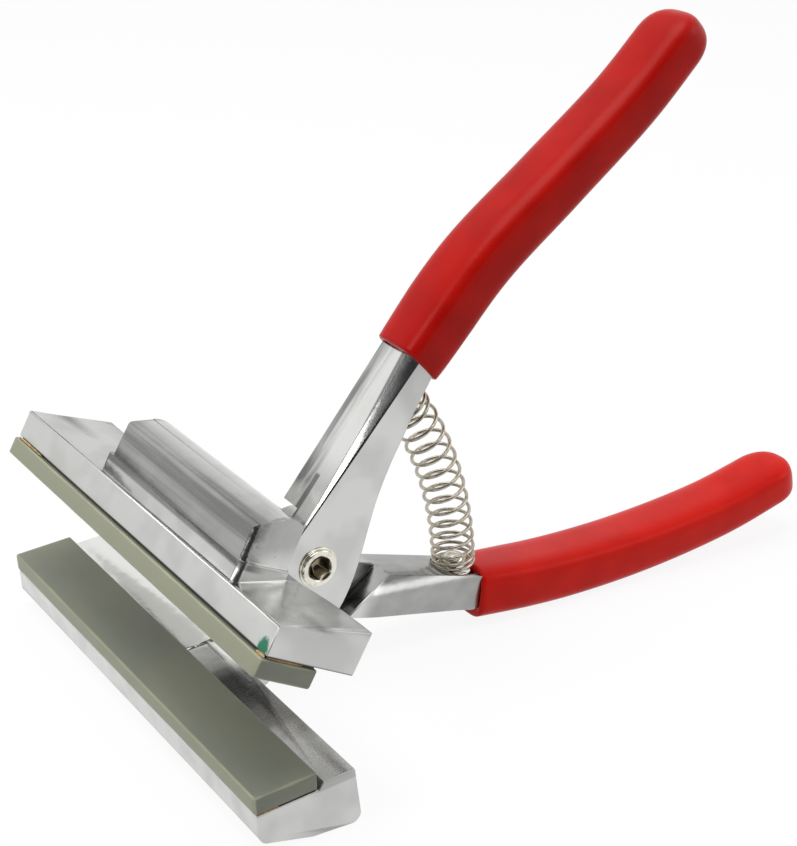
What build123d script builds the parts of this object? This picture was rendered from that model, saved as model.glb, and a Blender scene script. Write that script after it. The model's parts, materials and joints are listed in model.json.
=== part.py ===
from build123d import *
import os
from math import atan2, cos, degrees, hypot, pi, radians, sin, sqrt, tan

# Canvas pliers: two cast levers cross in a half-lap at a socket-headed pivot, and a curved
# compression spring between their shanks holds the wide rubber-faced jaws open.
# Millimetres. +X runs from the jaws back to the handles, +Y away from the near side, +Z up.
# The origin is the middle of the lower jaw's flat sole, which stands on the bench.

# Stance of the tool on the bench
pivot_height = 28.5
pivot_setback = 28.0
stance_tilt = 1.0
face_tilt = 4.3
jaw_opening = 33.0

# Gripping pads, each bonded to its jaw by a line of adhesive
jaw_width = 120.0
pad_reach = 47.7
pad_depth = 14.5
pad_thickness = 4.2
pad_edge = 0.35
face_drop = 10.2
upper_glue_line = 0.5
lower_glue_line = 0.25
glue_setback = 0.8

# Half-lap at the pivot
lever_thickness = 12.6
lap_gap = 0.2
hub_radius = 10.3
lap_clearance = 2.5

# Lower jaw bar, in section
lower_bar_reach = 47.4
strip_reach = 32.0
strip_ramp = 1.0
strip_back_reach = 24.35
strip_drop = 13.25
strip_step = 0.6
sole_depth = 9.5
nose_drop = 21.4
nose_radius = 2.8
heel_radius = 2.2

# Lower jaw's neck, from its bar up to the hub
neck_root_width = 40.0
neck_far_end = 4.0
neck_top_drop = 10.0
neck_top_back = 14.0
neck_sweep_radius = 17.0
far_shoulder_rise = 6.5

# Upper jaw bar, in section
upper_bar_reach = 46.7
upper_bar_back_reach = 24.5
upper_bar_front_rise = 1.0
upper_bar_back_rise = 4.2
scoop_drop = 1.2
beside_boss_dip = 1.6
plate_crease_share = 0.97

# Two-stepped boss on the upper jaw, and the tail that carries it to the hub
boss_reach = 39.9
boss_width = 64.0
boss_ledge = 0.6
boss_ledge_rise = 3.4
boss_ledge_climb = 0.6
boss_front_rise = 11.3
boss_crest_rise = 15.0
boss_crest_reach = 31.0
boss_front_radius = 2.2
boss_crest_radius = 7.0
boss_corner_radius = 1.6
boss_draft = 2.5
tail_start_reach = 27.0
tail_reach = 13.5
tail_sweep = 3.5
tail_rise = 9.1
tail_drop = 3.0

# Shanks, from the hub to the mouth of each grip
shank_reach = 51.0
bevel_width = 2.3
bevel_depth = 3.2
shoulder_reach = 17.5
shoulder_lean = 26.0

# Handle bars and their dipped grips
upper_handle_length = 103.2
upper_handle_lean = 42.6
lower_handle_length = 105.2
lower_handle_lean = 31.7
lower_handle_sag = 5.8
upper_half_heights = (6.2, 6.0, 5.4)
lower_half_heights = (5.9, 5.9, 4.9)
grip_wall = 2.1
grip_round = 3.5
bar_round = 1.4

# Pivot: a headed sleeve from the near side, closed by a screw from the far side
sleeve_radius = 3.5
head_radius = 4.5
head_height = 0.8
washer_radius = 4.95
washer_thickness = 0.4
socket_across_flats = 5.0
socket_depth = 3.0
socket_lead = 0.25
screw_radius = 2.0
screw_bite = 7.0
screw_socket_across_flats = 2.5
screw_socket_depth = 1.1
head_edge = 0.4
running_clearance = 0.05
face_clearance = 0.05
sleeve_seat_share = 0.7

# Return spring and the two posts that it stands on
wire_radius = 0.45
coil_radius = 5.05
spring_turns = 15
turn_step_share = 0.001
closed_turns_low = 2.0
closed_turns_high = 1.0
closed_pitch = 1.5
pitch_growth_share = 1.3
spring_bow = 3.4
spring_seat_gap = 0.15
spring_top_gap = 0.5
post_flange_radius = 4.6
post_flange_height = 0.9
post_flange_edge = 0.25
post_dome_radius = 3.4
post_dome_height = 3.8
post_dome_round = 2.8
post_stem_radius = 1.9
post_stem_depth = 4.0
post_fit = 0.02
seat_recess = 0.6
seat_margin = 0.25
lower_post_grip_gap = 0.323
lower_post_bearing = 9.4
lower_post_lean = 109.0
upper_post_grip_gap = 3.7225
upper_post_bearing = 51.9
upper_post_lean = -37.0

# One overrun serves every cut that has to break through a surface
overrun = 1.0

os.makedirs("parts", exist_ok=True)

half_width = jaw_width / 2
half_thickness = lever_thickness / 2
recess_radius = hub_radius + lap_clearance
upper_tilt = face_tilt - jaw_opening
pivot = Vector(pivot_setback, 0, pivot_height)


def facing(tilt):
    """A plane on the pivot axis that looks to the near side, tilted by some degrees from the stance."""
    lean = radians(stance_tilt + tilt)
    return Plane(origin=pivot, x_dir=(cos(lean), 0, sin(lean)), z_dir=(0, -1, 0))


def turned(point, tilt):
    """A flat point turned about the pivot axis by some degrees."""
    c, s = cos(radians(tilt)), sin(radians(tilt))
    return (point[0] * c - point[1] * s, point[0] * s + point[1] * c)


def scaled(shares, size):
    """Outline points from their shares of one size."""
    return [(a * size, b * size) for a, b in shares]


def polar(reach, lean):
    """A flat point at a reach from the origin, in a direction of some degrees."""
    return (reach * cos(radians(lean)), reach * sin(radians(lean)))


side = facing(0)
lower_face = facing(face_tilt)
upper_face = facing(upper_tilt)
upper_plan = Plane(origin=pivot, x_dir=upper_face.x_dir, z_dir=upper_face.y_dir)


# Handle centre lines, as flat points with a half height at each
handle_stations = (0.0, 0.25, 0.5, 0.75)
upper_bow_shares = (0.0, 0.027, 0.006, -0.013)
upper_mouth_share = (0.555, 0.850)
lower_mouth_share = (0.992, 0.084)
bar_end_shares = (0.0, 0.33, 0.67, 1.0)


def handle_centres(mouth, length, lean, bows, half_heights):
    """Centre points of a handle: stations along its chord, each moved square to it by its bow."""
    c, s = cos(radians(lean)), sin(radians(lean))
    stations = handle_stations + (1 - half_heights[-1] / length,)
    return [
        (mouth[0] + t * length * c - b * s, mouth[1] + t * length * s + b * c)
        for t, b in zip(stations, bows + [0])
    ]


def half_height_at(station, half_heights):
    """A grip's half height at a station from its mouth to its tip, by way of its middle."""
    mouth, middle, tip = half_heights
    return mouth + (tip - mouth) * station + (2 * middle - mouth - tip) * 2 * station * (1 - station)


def handle_rails(centres, tip, half_heights, inset):
    """The two edges of a handle, each centre moved out by its half height less an inset."""
    ends = [centres[0]] + centres + [tip]
    upper_rail, lower_rail = [], []
    for i, (x, y) in enumerate(centres):
        ahead, behind = ends[i + 2], ends[i]
        if i == 0:
            behind = centres[0]
        run, rise = ahead[0] - behind[0], ahead[1] - behind[1]
        reach = hypot(run, rise)
        height = half_height_at(i / (len(centres) - 1), half_heights) - inset
        upper_rail.append((x - rise / reach * height, y + run / reach * height))
        lower_rail.append((x + rise / reach * height, y - run / reach * height))
    return upper_rail, lower_rail


def handle_body(plane, centres, tip, half_heights, inset, half_breadth, edge):
    """A curved handle with a round tip, as broad as asked and rounded along its edges."""
    last = centres[-1]
    reach = hypot(tip[0] - last[0], tip[1] - last[1])
    pull = (reach - inset) / reach
    end = (last[0] + (tip[0] - last[0]) * pull, last[1] + (tip[1] - last[1]) * pull)
    upper_rail, lower_rail = handle_rails(centres, tip, half_heights, inset)
    with BuildPart() as handle:
        with BuildSketch(plane):
            with BuildLine():
                Spline(*upper_rail)
                ThreePointArc(upper_rail[-1], end, lower_rail[-1])
                Spline(*reversed(lower_rail))
                Line(lower_rail[0], upper_rail[0])
            make_face()
        extrude(amount=half_breadth, both=True)
        mouth = plane.from_local_coords(Vector(*centres[0]))
        rims = [e for f in handle.faces().filter_by(Axis.Y) for e in f.edges()]
        mouth_rims = [e for e in rims if (e.center() - mouth).length < half_breadth + overrun]
        fillet([e for e in rims if e not in mouth_rims], edge)
    return handle.part


upper_mouth = scaled([upper_mouth_share], shank_reach)[0]
upper_tip = tuple(a + b for a, b in zip(upper_mouth, polar(upper_handle_length, upper_handle_lean)))
upper_bows = [b * upper_handle_length for b in upper_bow_shares]
upper_centres = handle_centres(
    upper_mouth, upper_handle_length, upper_handle_lean, upper_bows, upper_half_heights
)

lower_mouth = scaled([lower_mouth_share], shank_reach)[0]
lower_tip = tuple(a + b for a, b in zip(lower_mouth, polar(lower_handle_length, lower_handle_lean)))
lower_bows = [-4 * lower_handle_sag * t * (1 - t) for t in handle_stations]
lower_centres = handle_centres(
    lower_mouth, lower_handle_length, lower_handle_lean, lower_bows, lower_half_heights
)


# Outlines of the two levers, as shares of the shank reach
upper_shank_outer_shares = [(0.482, 0.902), (-0.085, 0.189)]
upper_shank_inner_shares = [
    (0.600, 0.804), (0.435, 0.514), (0.308, 0.245), (0.224, -0.024),
    (0.127, -0.233), (-0.059, -0.418), (-0.275, -0.512),
]
lower_shank_top_shares = [(0.974, 0.176), (0.408, 0.055), (0.157, 0.003)]
lower_shank_bottom_shares = [(0.990, -0.004), (0.614, -0.112), (0.345, -0.186), (0.157, -0.214), (0, -0.202)]

outer_high, outer_low = scaled(upper_shank_outer_shares, shank_reach)
inner_rail = scaled(upper_shank_inner_shares, shank_reach)
strip_back = turned((-strip_back_reach, -strip_drop), face_tilt)
heel = turned((heel_radius + sole_depth / 2 - pivot_setback, -pivot_height), -stance_tilt)
sole_front = turned((-sole_depth / 2 - pivot_setback, -pivot_height), -stance_tilt)
nose = turned((-lower_bar_reach, -nose_drop), face_tilt)
seat_drop = face_drop + pad_thickness + lower_glue_line
neck_shoulder = (-neck_top_back, -neck_top_drop)


def sketch_corner(sketch, point):
    """The corner of a sketch that lies nearest to a flat point."""
    return sketch.vertices().sort_by_distance(Vector(*point))[0]


def bevel_wedge():
    """The tapering bevel along the outer near edge of the upper shank, as a solid to cut away."""
    run, rise = outer_high[0] - outer_low[0], outer_high[1] - outer_low[1]
    lean = degrees(atan2(rise, run))
    reach = hypot(run, rise)
    stations = ((-overrun / 2, overrun / 4), (reach + overrun, bevel_width))
    along = side.x_dir * cos(radians(lean)) + side.y_dir * sin(radians(lean))
    inward = side.x_dir * sin(radians(lean)) - side.y_dir * cos(radians(lean))
    start = side.from_local_coords(Vector(*outer_low)) + Vector(0, -half_thickness, 0)
    with BuildPart() as wedge:
        for station, width in stations:
            depth = width * bevel_depth / bevel_width
            with BuildSketch(Plane(origin=start + along * station, x_dir=inward, z_dir=along)):
                with BuildLine():
                    Polyline(
                        (-overrun, -overrun),
                        (width * (1 + overrun / depth), -overrun),
                        (-overrun, depth * (1 + overrun / width)),
                        close=True,
                    )
                make_face()
        loft()
    return wedge.part


def lower_neck():
    """The lower jaw's neck: its side outline, narrowed in plan from the bar's root to the hub."""
    with BuildPart() as neck:
        with BuildSketch(side):
            with BuildLine():
                Polyline(
                    (-neck_far_end, -neck_top_back), neck_shoulder, strip_back,
                    (-pivot_setback, strip_back[1]), (-pivot_setback, inner_rail[-1][1]),
                    inner_rail[-1], inner_rail[-2], close=True,
                )
            make_face()
        extrude(amount=neck_root_width, both=True)
        with BuildSketch(Plane.XY):
            with BuildLine():
                root = pivot_setback - strip_back_reach
                waist = pivot_setback - neck_far_end
                for way in (1, -1):
                    RadiusArc((root, way * neck_root_width / 2), (waist, way * half_thickness),
                              -way * neck_sweep_radius)
                Line((root, -neck_root_width / 2), (root - overrun, -neck_root_width / 2))
                Line((root - overrun, -neck_root_width / 2), (root - overrun, neck_root_width / 2))
                Line((root - overrun, neck_root_width / 2), (root, neck_root_width / 2))
                Line((waist, half_thickness), (waist, -half_thickness))
            make_face()
        extrude(amount=pivot_height, mode=Mode.INTERSECT)
    return neck.part


def jaw_bar_stretch(offsets):
    """A stretch of the upper jaw bar, whose top is scooped lower beside the boss than at its ends."""
    with BuildPart() as stretch:
        for offset in offsets:
            away = max(abs(offset) - boss_width / 2, 0) / (half_width - boss_width / 2)
            crease_reach = boss_reach + (upper_bar_reach - boss_reach) * away * plate_crease_share
            crease_rise = (upper_bar_front_rise + scoop_drop) * away - scoop_drop
            back_rise = upper_bar_back_rise - beside_boss_dip * (1 - away) ** 2
            with BuildSketch(upper_face.offset(-offset)):
                with BuildLine():
                    Polyline(
                        (-upper_bar_reach, -upper_seat_drop), (-upper_bar_reach, upper_bar_front_rise),
                        (-crease_reach, crease_rise), (-upper_bar_back_reach, back_rise),
                        (-upper_bar_back_reach, -upper_seat_drop), close=True,
                    )
                make_face()
        loft()
    return stretch.part


def boss_plan(height, front_reach, breadth):
    """The boss seen from above, at a height over the pivot axis: wide in front, narrowing to the hub."""
    with BuildSketch(upper_plan.offset(height)) as plan:
        with BuildLine():
            for way in (1, -1):
                start = (-tail_start_reach, way * (breadth / 2 - boss_ledge))
                end = (-tail_reach, way * half_thickness)
                run, rise = end[0] - start[0], end[1] - start[1]
                reach = hypot(run, rise)
                middle = (
                    (start[0] + end[0]) / 2 - abs(rise) / reach * tail_sweep,
                    (start[1] + end[1]) / 2 - way * run / reach * tail_sweep,
                )
                Line((-front_reach, way * breadth / 2), start)
                ThreePointArc(start, middle, end)
                Line(end, (0, way * half_thickness))
            Line((-front_reach, -breadth / 2), (-front_reach, breadth / 2))
            Line((0, -half_thickness), (0, half_thickness))
        make_face()
        fillet(plan.vertices().group_by(Axis.X)[0], boss_corner_radius)
    return plan.sketch


def boss_block(section, front_reach, breadth, draft):
    """One step of the boss: a side section, cut to its plan, with ends that lean in by a draft."""
    low, high = -upper_seat_drop - overrun, boss_crest_rise + overrun
    lean_in = 2 * (high - low) * tan(radians(draft))
    with BuildPart() as block:
        loft([boss_plan(low, front_reach, breadth), boss_plan(high, front_reach, breadth - lean_in)])
        with BuildSketch(upper_face):
            add(section)
        extrude(amount=breadth, both=True, mode=Mode.INTERSECT)
    return block.part


def pivot_bore():
    """The hole for the pivot sleeve, as a solid to cut away."""
    with BuildPart() as hole:
        with BuildSketch(side):
            Circle(sleeve_radius + running_clearance)
        extrude(amount=half_width, both=True)
    return hole.part


def post_socket(seat):
    """A spot face for a spring post and the hole for its stem, as a solid to cut away."""
    with BuildPart() as socket:
        with BuildSketch(seat):
            Circle(coil_radius + wire_radius + seat_margin)
        extrude(amount=post_dome_height)
        with BuildSketch(seat):
            Circle(post_stem_radius + post_fit)
        extrude(amount=-(post_stem_depth + seat_margin))
    return socket.part


def seat_plane(place, lean):
    """The plane of a post's seat: its origin sunk into the lever, its z axis along the post."""
    c, s = cos(radians(lean)), sin(radians(lean))
    along = side.x_dir * c + side.y_dir * s
    middle = side.from_local_coords(Vector(*place)) - along * seat_recess
    return Plane(origin=middle, x_dir=(0, 1, 0), z_dir=along)


upper_seat_drop = face_drop - pad_thickness - upper_glue_line
seat_radius = coil_radius + wire_radius + seat_margin
upper_post_reach = hypot(*upper_mouth) - seat_radius - upper_post_grip_gap
lower_post_reach = hypot(*lower_mouth) - seat_radius - lower_post_grip_gap
upper_seat = seat_plane(polar(upper_post_reach, upper_post_bearing), upper_post_lean)
lower_seat = seat_plane(
    polar(lower_post_reach, lower_post_bearing + upper_tilt), lower_post_lean + upper_tilt
)

# Lower jaw lever: lower jaw bar, neck, near half of the lap, upper shank and upper handle bar
with BuildSketch(side) as near_outline:
    with BuildLine():
        Spline(*inner_rail)
        Polyline(
            inner_rail[-1], (heel[0], inner_rail[-1][1]), strip_back, neck_shoulder,
            (-hub_radius, 0), outer_low, outer_high, upper_centres[1], inner_rail[0],
        )
    make_face()
    Circle(hub_radius)

with BuildSketch(side) as far_lap:
    Circle(recess_radius)
    with BuildLine():
        Polyline(
            (-neck_far_end, -pivot_height), (shank_reach, -pivot_height),
            (shank_reach, far_shoulder_rise), (-neck_far_end, far_shoulder_rise), close=True,
        )
    make_face()

with BuildPart() as lower_jaw_lever:
    with BuildSketch(side):
        add(near_outline.sketch_local)
    extrude(amount=half_thickness, both=True)
    add(bevel_wedge(), mode=Mode.SUBTRACT)
    with BuildSketch(side.offset(-half_thickness - overrun)):
        add(far_lap.sketch_local)
    extrude(amount=half_thickness + overrun - lap_gap / 2, mode=Mode.SUBTRACT)
    with BuildSketch(side) as lower_bar:
        with BuildLine():
            Polyline(
                turned((-lower_bar_reach, -seat_drop), face_tilt),
                turned((-strip_reach - strip_ramp, -seat_drop), face_tilt),
                turned((-strip_reach, -strip_drop), face_tilt),
                strip_back, heel, sole_front, nose, close=True,
            )
        make_face()
        fillet(sketch_corner(lower_bar, nose), nose_radius)
        fillet(sketch_corner(lower_bar, heel), heel_radius)
    extrude(amount=half_width, both=True)
    with BuildSketch(lower_face):
        with BuildLine():
            Polyline(
                (-strip_reach, -strip_drop), (-strip_reach, strip_step - strip_drop),
                (-strip_back_reach, strip_step - strip_drop), (-strip_back_reach, -strip_drop - strip_step),
                close=True,
            )
        make_face()
    extrude(amount=-half_width)
    add(lower_neck())
    add(handle_body(side, upper_centres, upper_tip, upper_half_heights, grip_wall, half_thickness, bar_round))
    add(pivot_bore(), mode=Mode.SUBTRACT)
    add(post_socket(upper_seat), mode=Mode.SUBTRACT)
lower_jaw_lever.part.label = "lower_jaw_lever"

# Upper jaw lever: upper jaw bar, stepped boss, far half of the lap, lower shank and lower handle bar
hub_inside = hub_radius - overrun
shank_top = scaled(lower_shank_top_shares, shank_reach)
shank_bottom = scaled(lower_shank_bottom_shares, shank_reach)
shoulder_foot = polar(shoulder_reach, -shoulder_lean)
shoulder_run = polar(2 * recess_radius, 90 - shoulder_lean)

with BuildSketch(upper_face) as lower_step:
    with BuildLine():
        Polyline(
            (-boss_reach, -tail_drop), (-boss_reach, boss_ledge_rise),
            (-upper_bar_back_reach, boss_ledge_rise + boss_ledge_climb), (-hub_inside, boss_ledge_rise),
            (-hub_inside, -tail_drop), (-tail_reach, -tail_drop), (-upper_bar_back_reach, -upper_seat_drop),
            close=True,
        )
    make_face()

with BuildSketch(upper_face) as upper_step:
    front = boss_ledge - boss_reach
    with BuildLine():
        Polyline(
            (front, 0), (front, boss_front_rise), (-boss_crest_reach, boss_crest_rise),
            (-tail_reach, tail_rise), (-hub_inside, boss_ledge_rise), (-hub_inside, 0), close=True,
        )
    make_face()
    fillet(sketch_corner(upper_step, (front, boss_front_rise)), boss_front_radius)
    fillet(sketch_corner(upper_step, (-boss_crest_reach, boss_crest_rise)), boss_crest_radius)

with BuildSketch(upper_face) as near_lap:
    Circle(recess_radius)
    with BuildLine():
        Polyline(
            (0, 2 * recess_radius), (shoulder_foot[0] + shoulder_run[0], shoulder_foot[1] + shoulder_run[1]),
            (shoulder_foot[0] - shoulder_run[0], shoulder_foot[1] - shoulder_run[1]), (0, -2 * recess_radius),
            close=True,
        )
    make_face()

with BuildPart() as upper_jaw_lever:
    with BuildSketch(upper_face):
        Circle(hub_radius)
        with BuildLine():
            Polyline(*shank_top)
            Line(shank_top[-1], (0, 0))
            Line((0, 0), shank_bottom[-1])
            Spline(*reversed(shank_bottom))
            Polyline(shank_bottom[0], lower_centres[1], shank_top[0])
        make_face()
    extrude(amount=half_thickness, both=True)
    add(boss_block(lower_step.sketch_local, boss_reach, boss_width, 0))
    add(boss_block(upper_step.sketch_local, boss_reach - boss_ledge, boss_width - 2 * boss_ledge, boss_draft))
    with BuildSketch(upper_face.offset(lap_gap / -2)):
        add(near_lap.sketch_local)
    extrude(amount=half_width, mode=Mode.SUBTRACT)
    add(jaw_bar_stretch((-boss_width / 2, boss_width / 2)))
    for way in (1, -1):
        ends = [way * (boss_width / 2 + share * (half_width - boss_width / 2)) for share in bar_end_shares]
        add(jaw_bar_stretch(ends))
    add(handle_body(
        upper_face, lower_centres, lower_tip, lower_half_heights, grip_wall, half_thickness, bar_round
    ))
    add(pivot_bore(), mode=Mode.SUBTRACT)
    add(post_socket(lower_seat), mode=Mode.SUBTRACT)
upper_jaw_lever.part.label = "upper_jaw_lever"


def slab(plane, low, high, half_breadth, edge):
    """A straight bar across the jaws, from one corner of its section to the other."""
    with BuildPart() as bar:
        with BuildSketch(plane):
            with Locations(((low[0] + high[0]) / 2, (low[1] + high[1]) / 2)):
                Rectangle(high[0] - low[0], high[1] - low[1])
        extrude(amount=half_breadth, both=True)
        if edge:
            fillet(bar.edges(), edge)
    return bar.part


# Pads and the adhesive under them
pad_back_reach = pad_reach - pad_depth
lower_pad = slab(
    lower_face, (-pad_reach, -face_drop - pad_thickness), (-pad_back_reach, -face_drop), half_width, pad_edge
)
upper_pad = slab(
    upper_face, (-pad_reach, -face_drop), (-pad_back_reach, pad_thickness - face_drop), half_width, pad_edge
)
lower_pad_glue = slab(
    lower_face, (glue_setback - pad_reach, -seat_drop),
    (-pad_back_reach - glue_setback, -face_drop - pad_thickness), half_width - glue_setback, 0,
)
upper_pad_glue = slab(
    upper_face, (glue_setback - upper_bar_reach, pad_thickness - face_drop),
    (-pad_back_reach - glue_setback, -upper_seat_drop), half_width - glue_setback, 0,
)


def dipped_grip(plane, centres, tip, half_heights, lever):
    """A vinyl grip dipped over a handle bar, one wall thicker than the bar all round."""
    with BuildPart() as grip:
        add(handle_body(plane, centres, tip, half_heights, 0, half_thickness + grip_wall, grip_round))
        add(lever.part, mode=Mode.SUBTRACT)
    return grip.part


upper_handle_grip = dipped_grip(side, upper_centres, upper_tip, upper_half_heights, lower_jaw_lever)
lower_handle_grip = dipped_grip(upper_face, lower_centres, lower_tip, lower_half_heights, upper_jaw_lever)


def washer(start):
    """A plain washer on the pivot, one thickness further out than a distance from the lap."""
    with BuildPart() as ring:
        with BuildSketch(side.offset(start)):
            Circle(washer_radius)
            Circle(sleeve_radius + running_clearance, mode=Mode.SUBTRACT)
        extrude(amount=washer_thickness * (1 if start > 0 else -1))
    return ring.part


near_washer = washer(half_thickness)
far_washer = washer(-half_thickness - face_clearance)

head_start = half_thickness + washer_thickness
sleeve_end = half_thickness + face_clearance + washer_thickness * sleeve_seat_share

with BuildPart() as pivot_sleeve:
    with BuildSketch(side.offset(-sleeve_end)):
        Circle(sleeve_radius)
    extrude(amount=sleeve_end + head_start)
    with BuildSketch(side.offset(head_start)):
        Circle(head_radius)
    extrude(amount=head_height)
    fillet(pivot_sleeve.edges().group_by(Axis.Y)[0], head_edge)
    with BuildSketch(side.offset(head_start + head_height)):
        Circle(socket_across_flats / sqrt(3) + socket_lead)
    extrude(amount=-socket_lead, mode=Mode.SUBTRACT)
    with BuildSketch(side.offset(head_start + head_height)):
        RegularPolygon(socket_across_flats / 2, 6, major_radius=False)
    extrude(amount=-socket_depth, mode=Mode.SUBTRACT)
    with BuildSketch(side.offset(-sleeve_end)):
        Circle(screw_radius + running_clearance)
    extrude(amount=screw_bite + screw_radius, mode=Mode.SUBTRACT)
pivot_sleeve.part.label = "pivot_sleeve"

screw_face = half_thickness + face_clearance + washer_thickness
with BuildPart() as pivot_screw:
    with BuildSketch(side.offset(-screw_face)):
        Circle(head_radius)
    extrude(amount=-head_height)
    fillet(pivot_screw.edges().group_by(Axis.Y)[-1], head_edge)
    with BuildSketch(side.offset(-screw_face)):
        Circle(screw_radius)
    extrude(amount=screw_bite)
    with BuildSketch(side.offset(-screw_face - head_height)):
        RegularPolygon(screw_socket_across_flats / 2, 6, major_radius=False)
    extrude(amount=screw_socket_depth, mode=Mode.SUBTRACT)
pivot_screw.part.label = "pivot_screw"


def spring_post(seat):
    """A turned post: a stem pressed into the lever, a flange, and a dome inside the coils."""
    with BuildPart() as post:
        with BuildSketch(seat):
            Circle(post_stem_radius)
        extrude(amount=-post_stem_depth)
        with BuildSketch(seat):
            Circle(post_flange_radius)
        extrude(amount=post_flange_height)
        with BuildSketch(seat.offset(post_flange_height)):
            Circle(post_dome_radius)
        extrude(amount=post_dome_height)
        crown = seat.origin + seat.z_dir * (post_flange_height + post_dome_height)
        fillet(post.edges().filter_by(GeomType.CIRCLE).sort_by_distance(crown)[0], post_dome_round)
        circles = post.edges().filter_by(GeomType.CIRCLE)
        fillet(circles.filter_by(lambda e: e.radius > post_flange_radius - post_fit), post_flange_edge)
    return post.part


upper_spring_post = spring_post(upper_seat)
lower_spring_post = spring_post(lower_seat)

# Return spring: a helix wound on an arc between the two flanges
seat_stand = post_flange_height + wire_radius
spring_start = lower_seat.origin + lower_seat.z_dir * (seat_stand + spring_seat_gap)
spring_finish = upper_seat.origin + upper_seat.z_dir * (seat_stand + spring_top_gap)
chord = spring_finish - spring_start
across = chord.normalized()
outward = Vector(across.Z, 0, -across.X)
arc_radius = (chord.length ** 2 / 4 + spring_bow ** 2) / (2 * spring_bow)
arc_centre = spring_start + chord / 2 - outward * (arc_radius - spring_bow)
half_arc = atan2(chord.length / 2, arc_radius - spring_bow)
arc_length = 2 * half_arc * arc_radius


def climb(turn):
    """The distance climbed along the spring's axis after some turns: close at its ends, opening upwards."""
    open_turns = spring_turns - closed_turns_low - closed_turns_high
    share = min(max((turn - closed_turns_low) / open_turns, 0), 1)
    return closed_pitch * turn + (arc_length - closed_pitch * spring_turns) * share ** pitch_growth_share


def coil_point(turn):
    """A point on the middle of the spring's wire."""
    angle = climb(turn) / arc_radius - half_arc
    radial = outward * cos(angle) + across * sin(angle)
    return (
        arc_centre + radial * (arc_radius + coil_radius * cos(2 * pi * turn))
        + Vector(0, coil_radius * sin(2 * pi * turn), 0)
    )


def coil_heading(turn):
    """The direction of the wire there."""
    return (coil_point(turn + turn_step_share) - coil_point(turn - turn_step_share)).normalized()


def biarc(start, start_heading, end, end_heading):
    """Two tangent arcs between two points that leave and arrive in given directions."""
    span = end - start
    both = start_heading + end_heading
    spread = 2 * (1 - start_heading.dot(end_heading))
    along = span.dot(both)
    handle = (sqrt(along ** 2 + spread * span.dot(span)) - along) / spread
    first, second = start + start_heading * handle, end - end_heading * handle
    middle = (first + second) / 2
    TangentArc(start, middle, tangent=start_heading)
    TangentArc(middle, end, tangent=(second - first).normalized())


with BuildPart() as return_spring:
    with BuildLine() as wire:
        lead = 2 * wire_radius
        Line(coil_point(0) - coil_heading(0) * lead, coil_point(0))
        for i in range(4 * spring_turns):
            a, b = i / 4, (i + 1) / 4
            biarc(coil_point(a), coil_heading(a), coil_point(b), coil_heading(b))
        Line(coil_point(spring_turns), coil_point(spring_turns) + coil_heading(spring_turns) * lead)
    with BuildSketch(Plane(origin=wire.line @ 0, z_dir=wire.line % 0)):
        Circle(wire_radius)
    sweep(path=wire.line)
return_spring.part.label = "return_spring"

samples_per_turn = 24
wire_points = [coil_point(i / samples_per_turn) for i in range(spring_turns * samples_per_turn + 1)]
least_gap = min(
    (p - q).length
    for i, p in enumerate(wire_points)
    for q in wire_points[i + samples_per_turn // 2:]
) - 2 * wire_radius
print(f"return_spring: {spring_turns} turns, least gap between turns {least_gap:.2f} mm")
drawn_volume = pi * wire_radius ** 2 * wire.wires()[0].length
print(f"return_spring: volume {return_spring.part.volume:.1f}, section times length {drawn_volume:.1f}")

pieces = {
    "lower_jaw_lever": lower_jaw_lever.part,
    "upper_jaw_lever": upper_jaw_lever.part,
    "lower_pad": lower_pad,
    "upper_pad": upper_pad,
    "lower_pad_glue": lower_pad_glue,
    "upper_pad_glue": upper_pad_glue,
    "upper_handle_grip": upper_handle_grip,
    "lower_handle_grip": lower_handle_grip,
    "pivot_sleeve": pivot_sleeve.part,
    "pivot_screw": pivot_screw.part,
    "near_washer": near_washer,
    "far_washer": far_washer,
    "upper_spring_post": upper_spring_post,
    "lower_spring_post": lower_spring_post,
    "return_spring": return_spring.part,
}
for name, piece in pieces.items():
    piece.label = name
    export_step(piece, f"parts/{name}.step")
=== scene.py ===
# %% [markdown]
# # Canvas pliers
# Wide-jawed pliers that pull canvas over a stretcher bar. Two cast levers cross at a socket-headed
# pivot, a curved spring holds the jaws open, and the handles are dipped in red vinyl.
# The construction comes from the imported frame. This lesson dresses it: each cell says what a piece
# is on the real tool, how it could be made, and why this way was chosen.

# %% Load the frame
import json
from math import atan2, cos, hypot, pi, radians, sin, sqrt

import bmesh
import bpy
import numpy as np
from mathutils import Matrix, Vector


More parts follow.
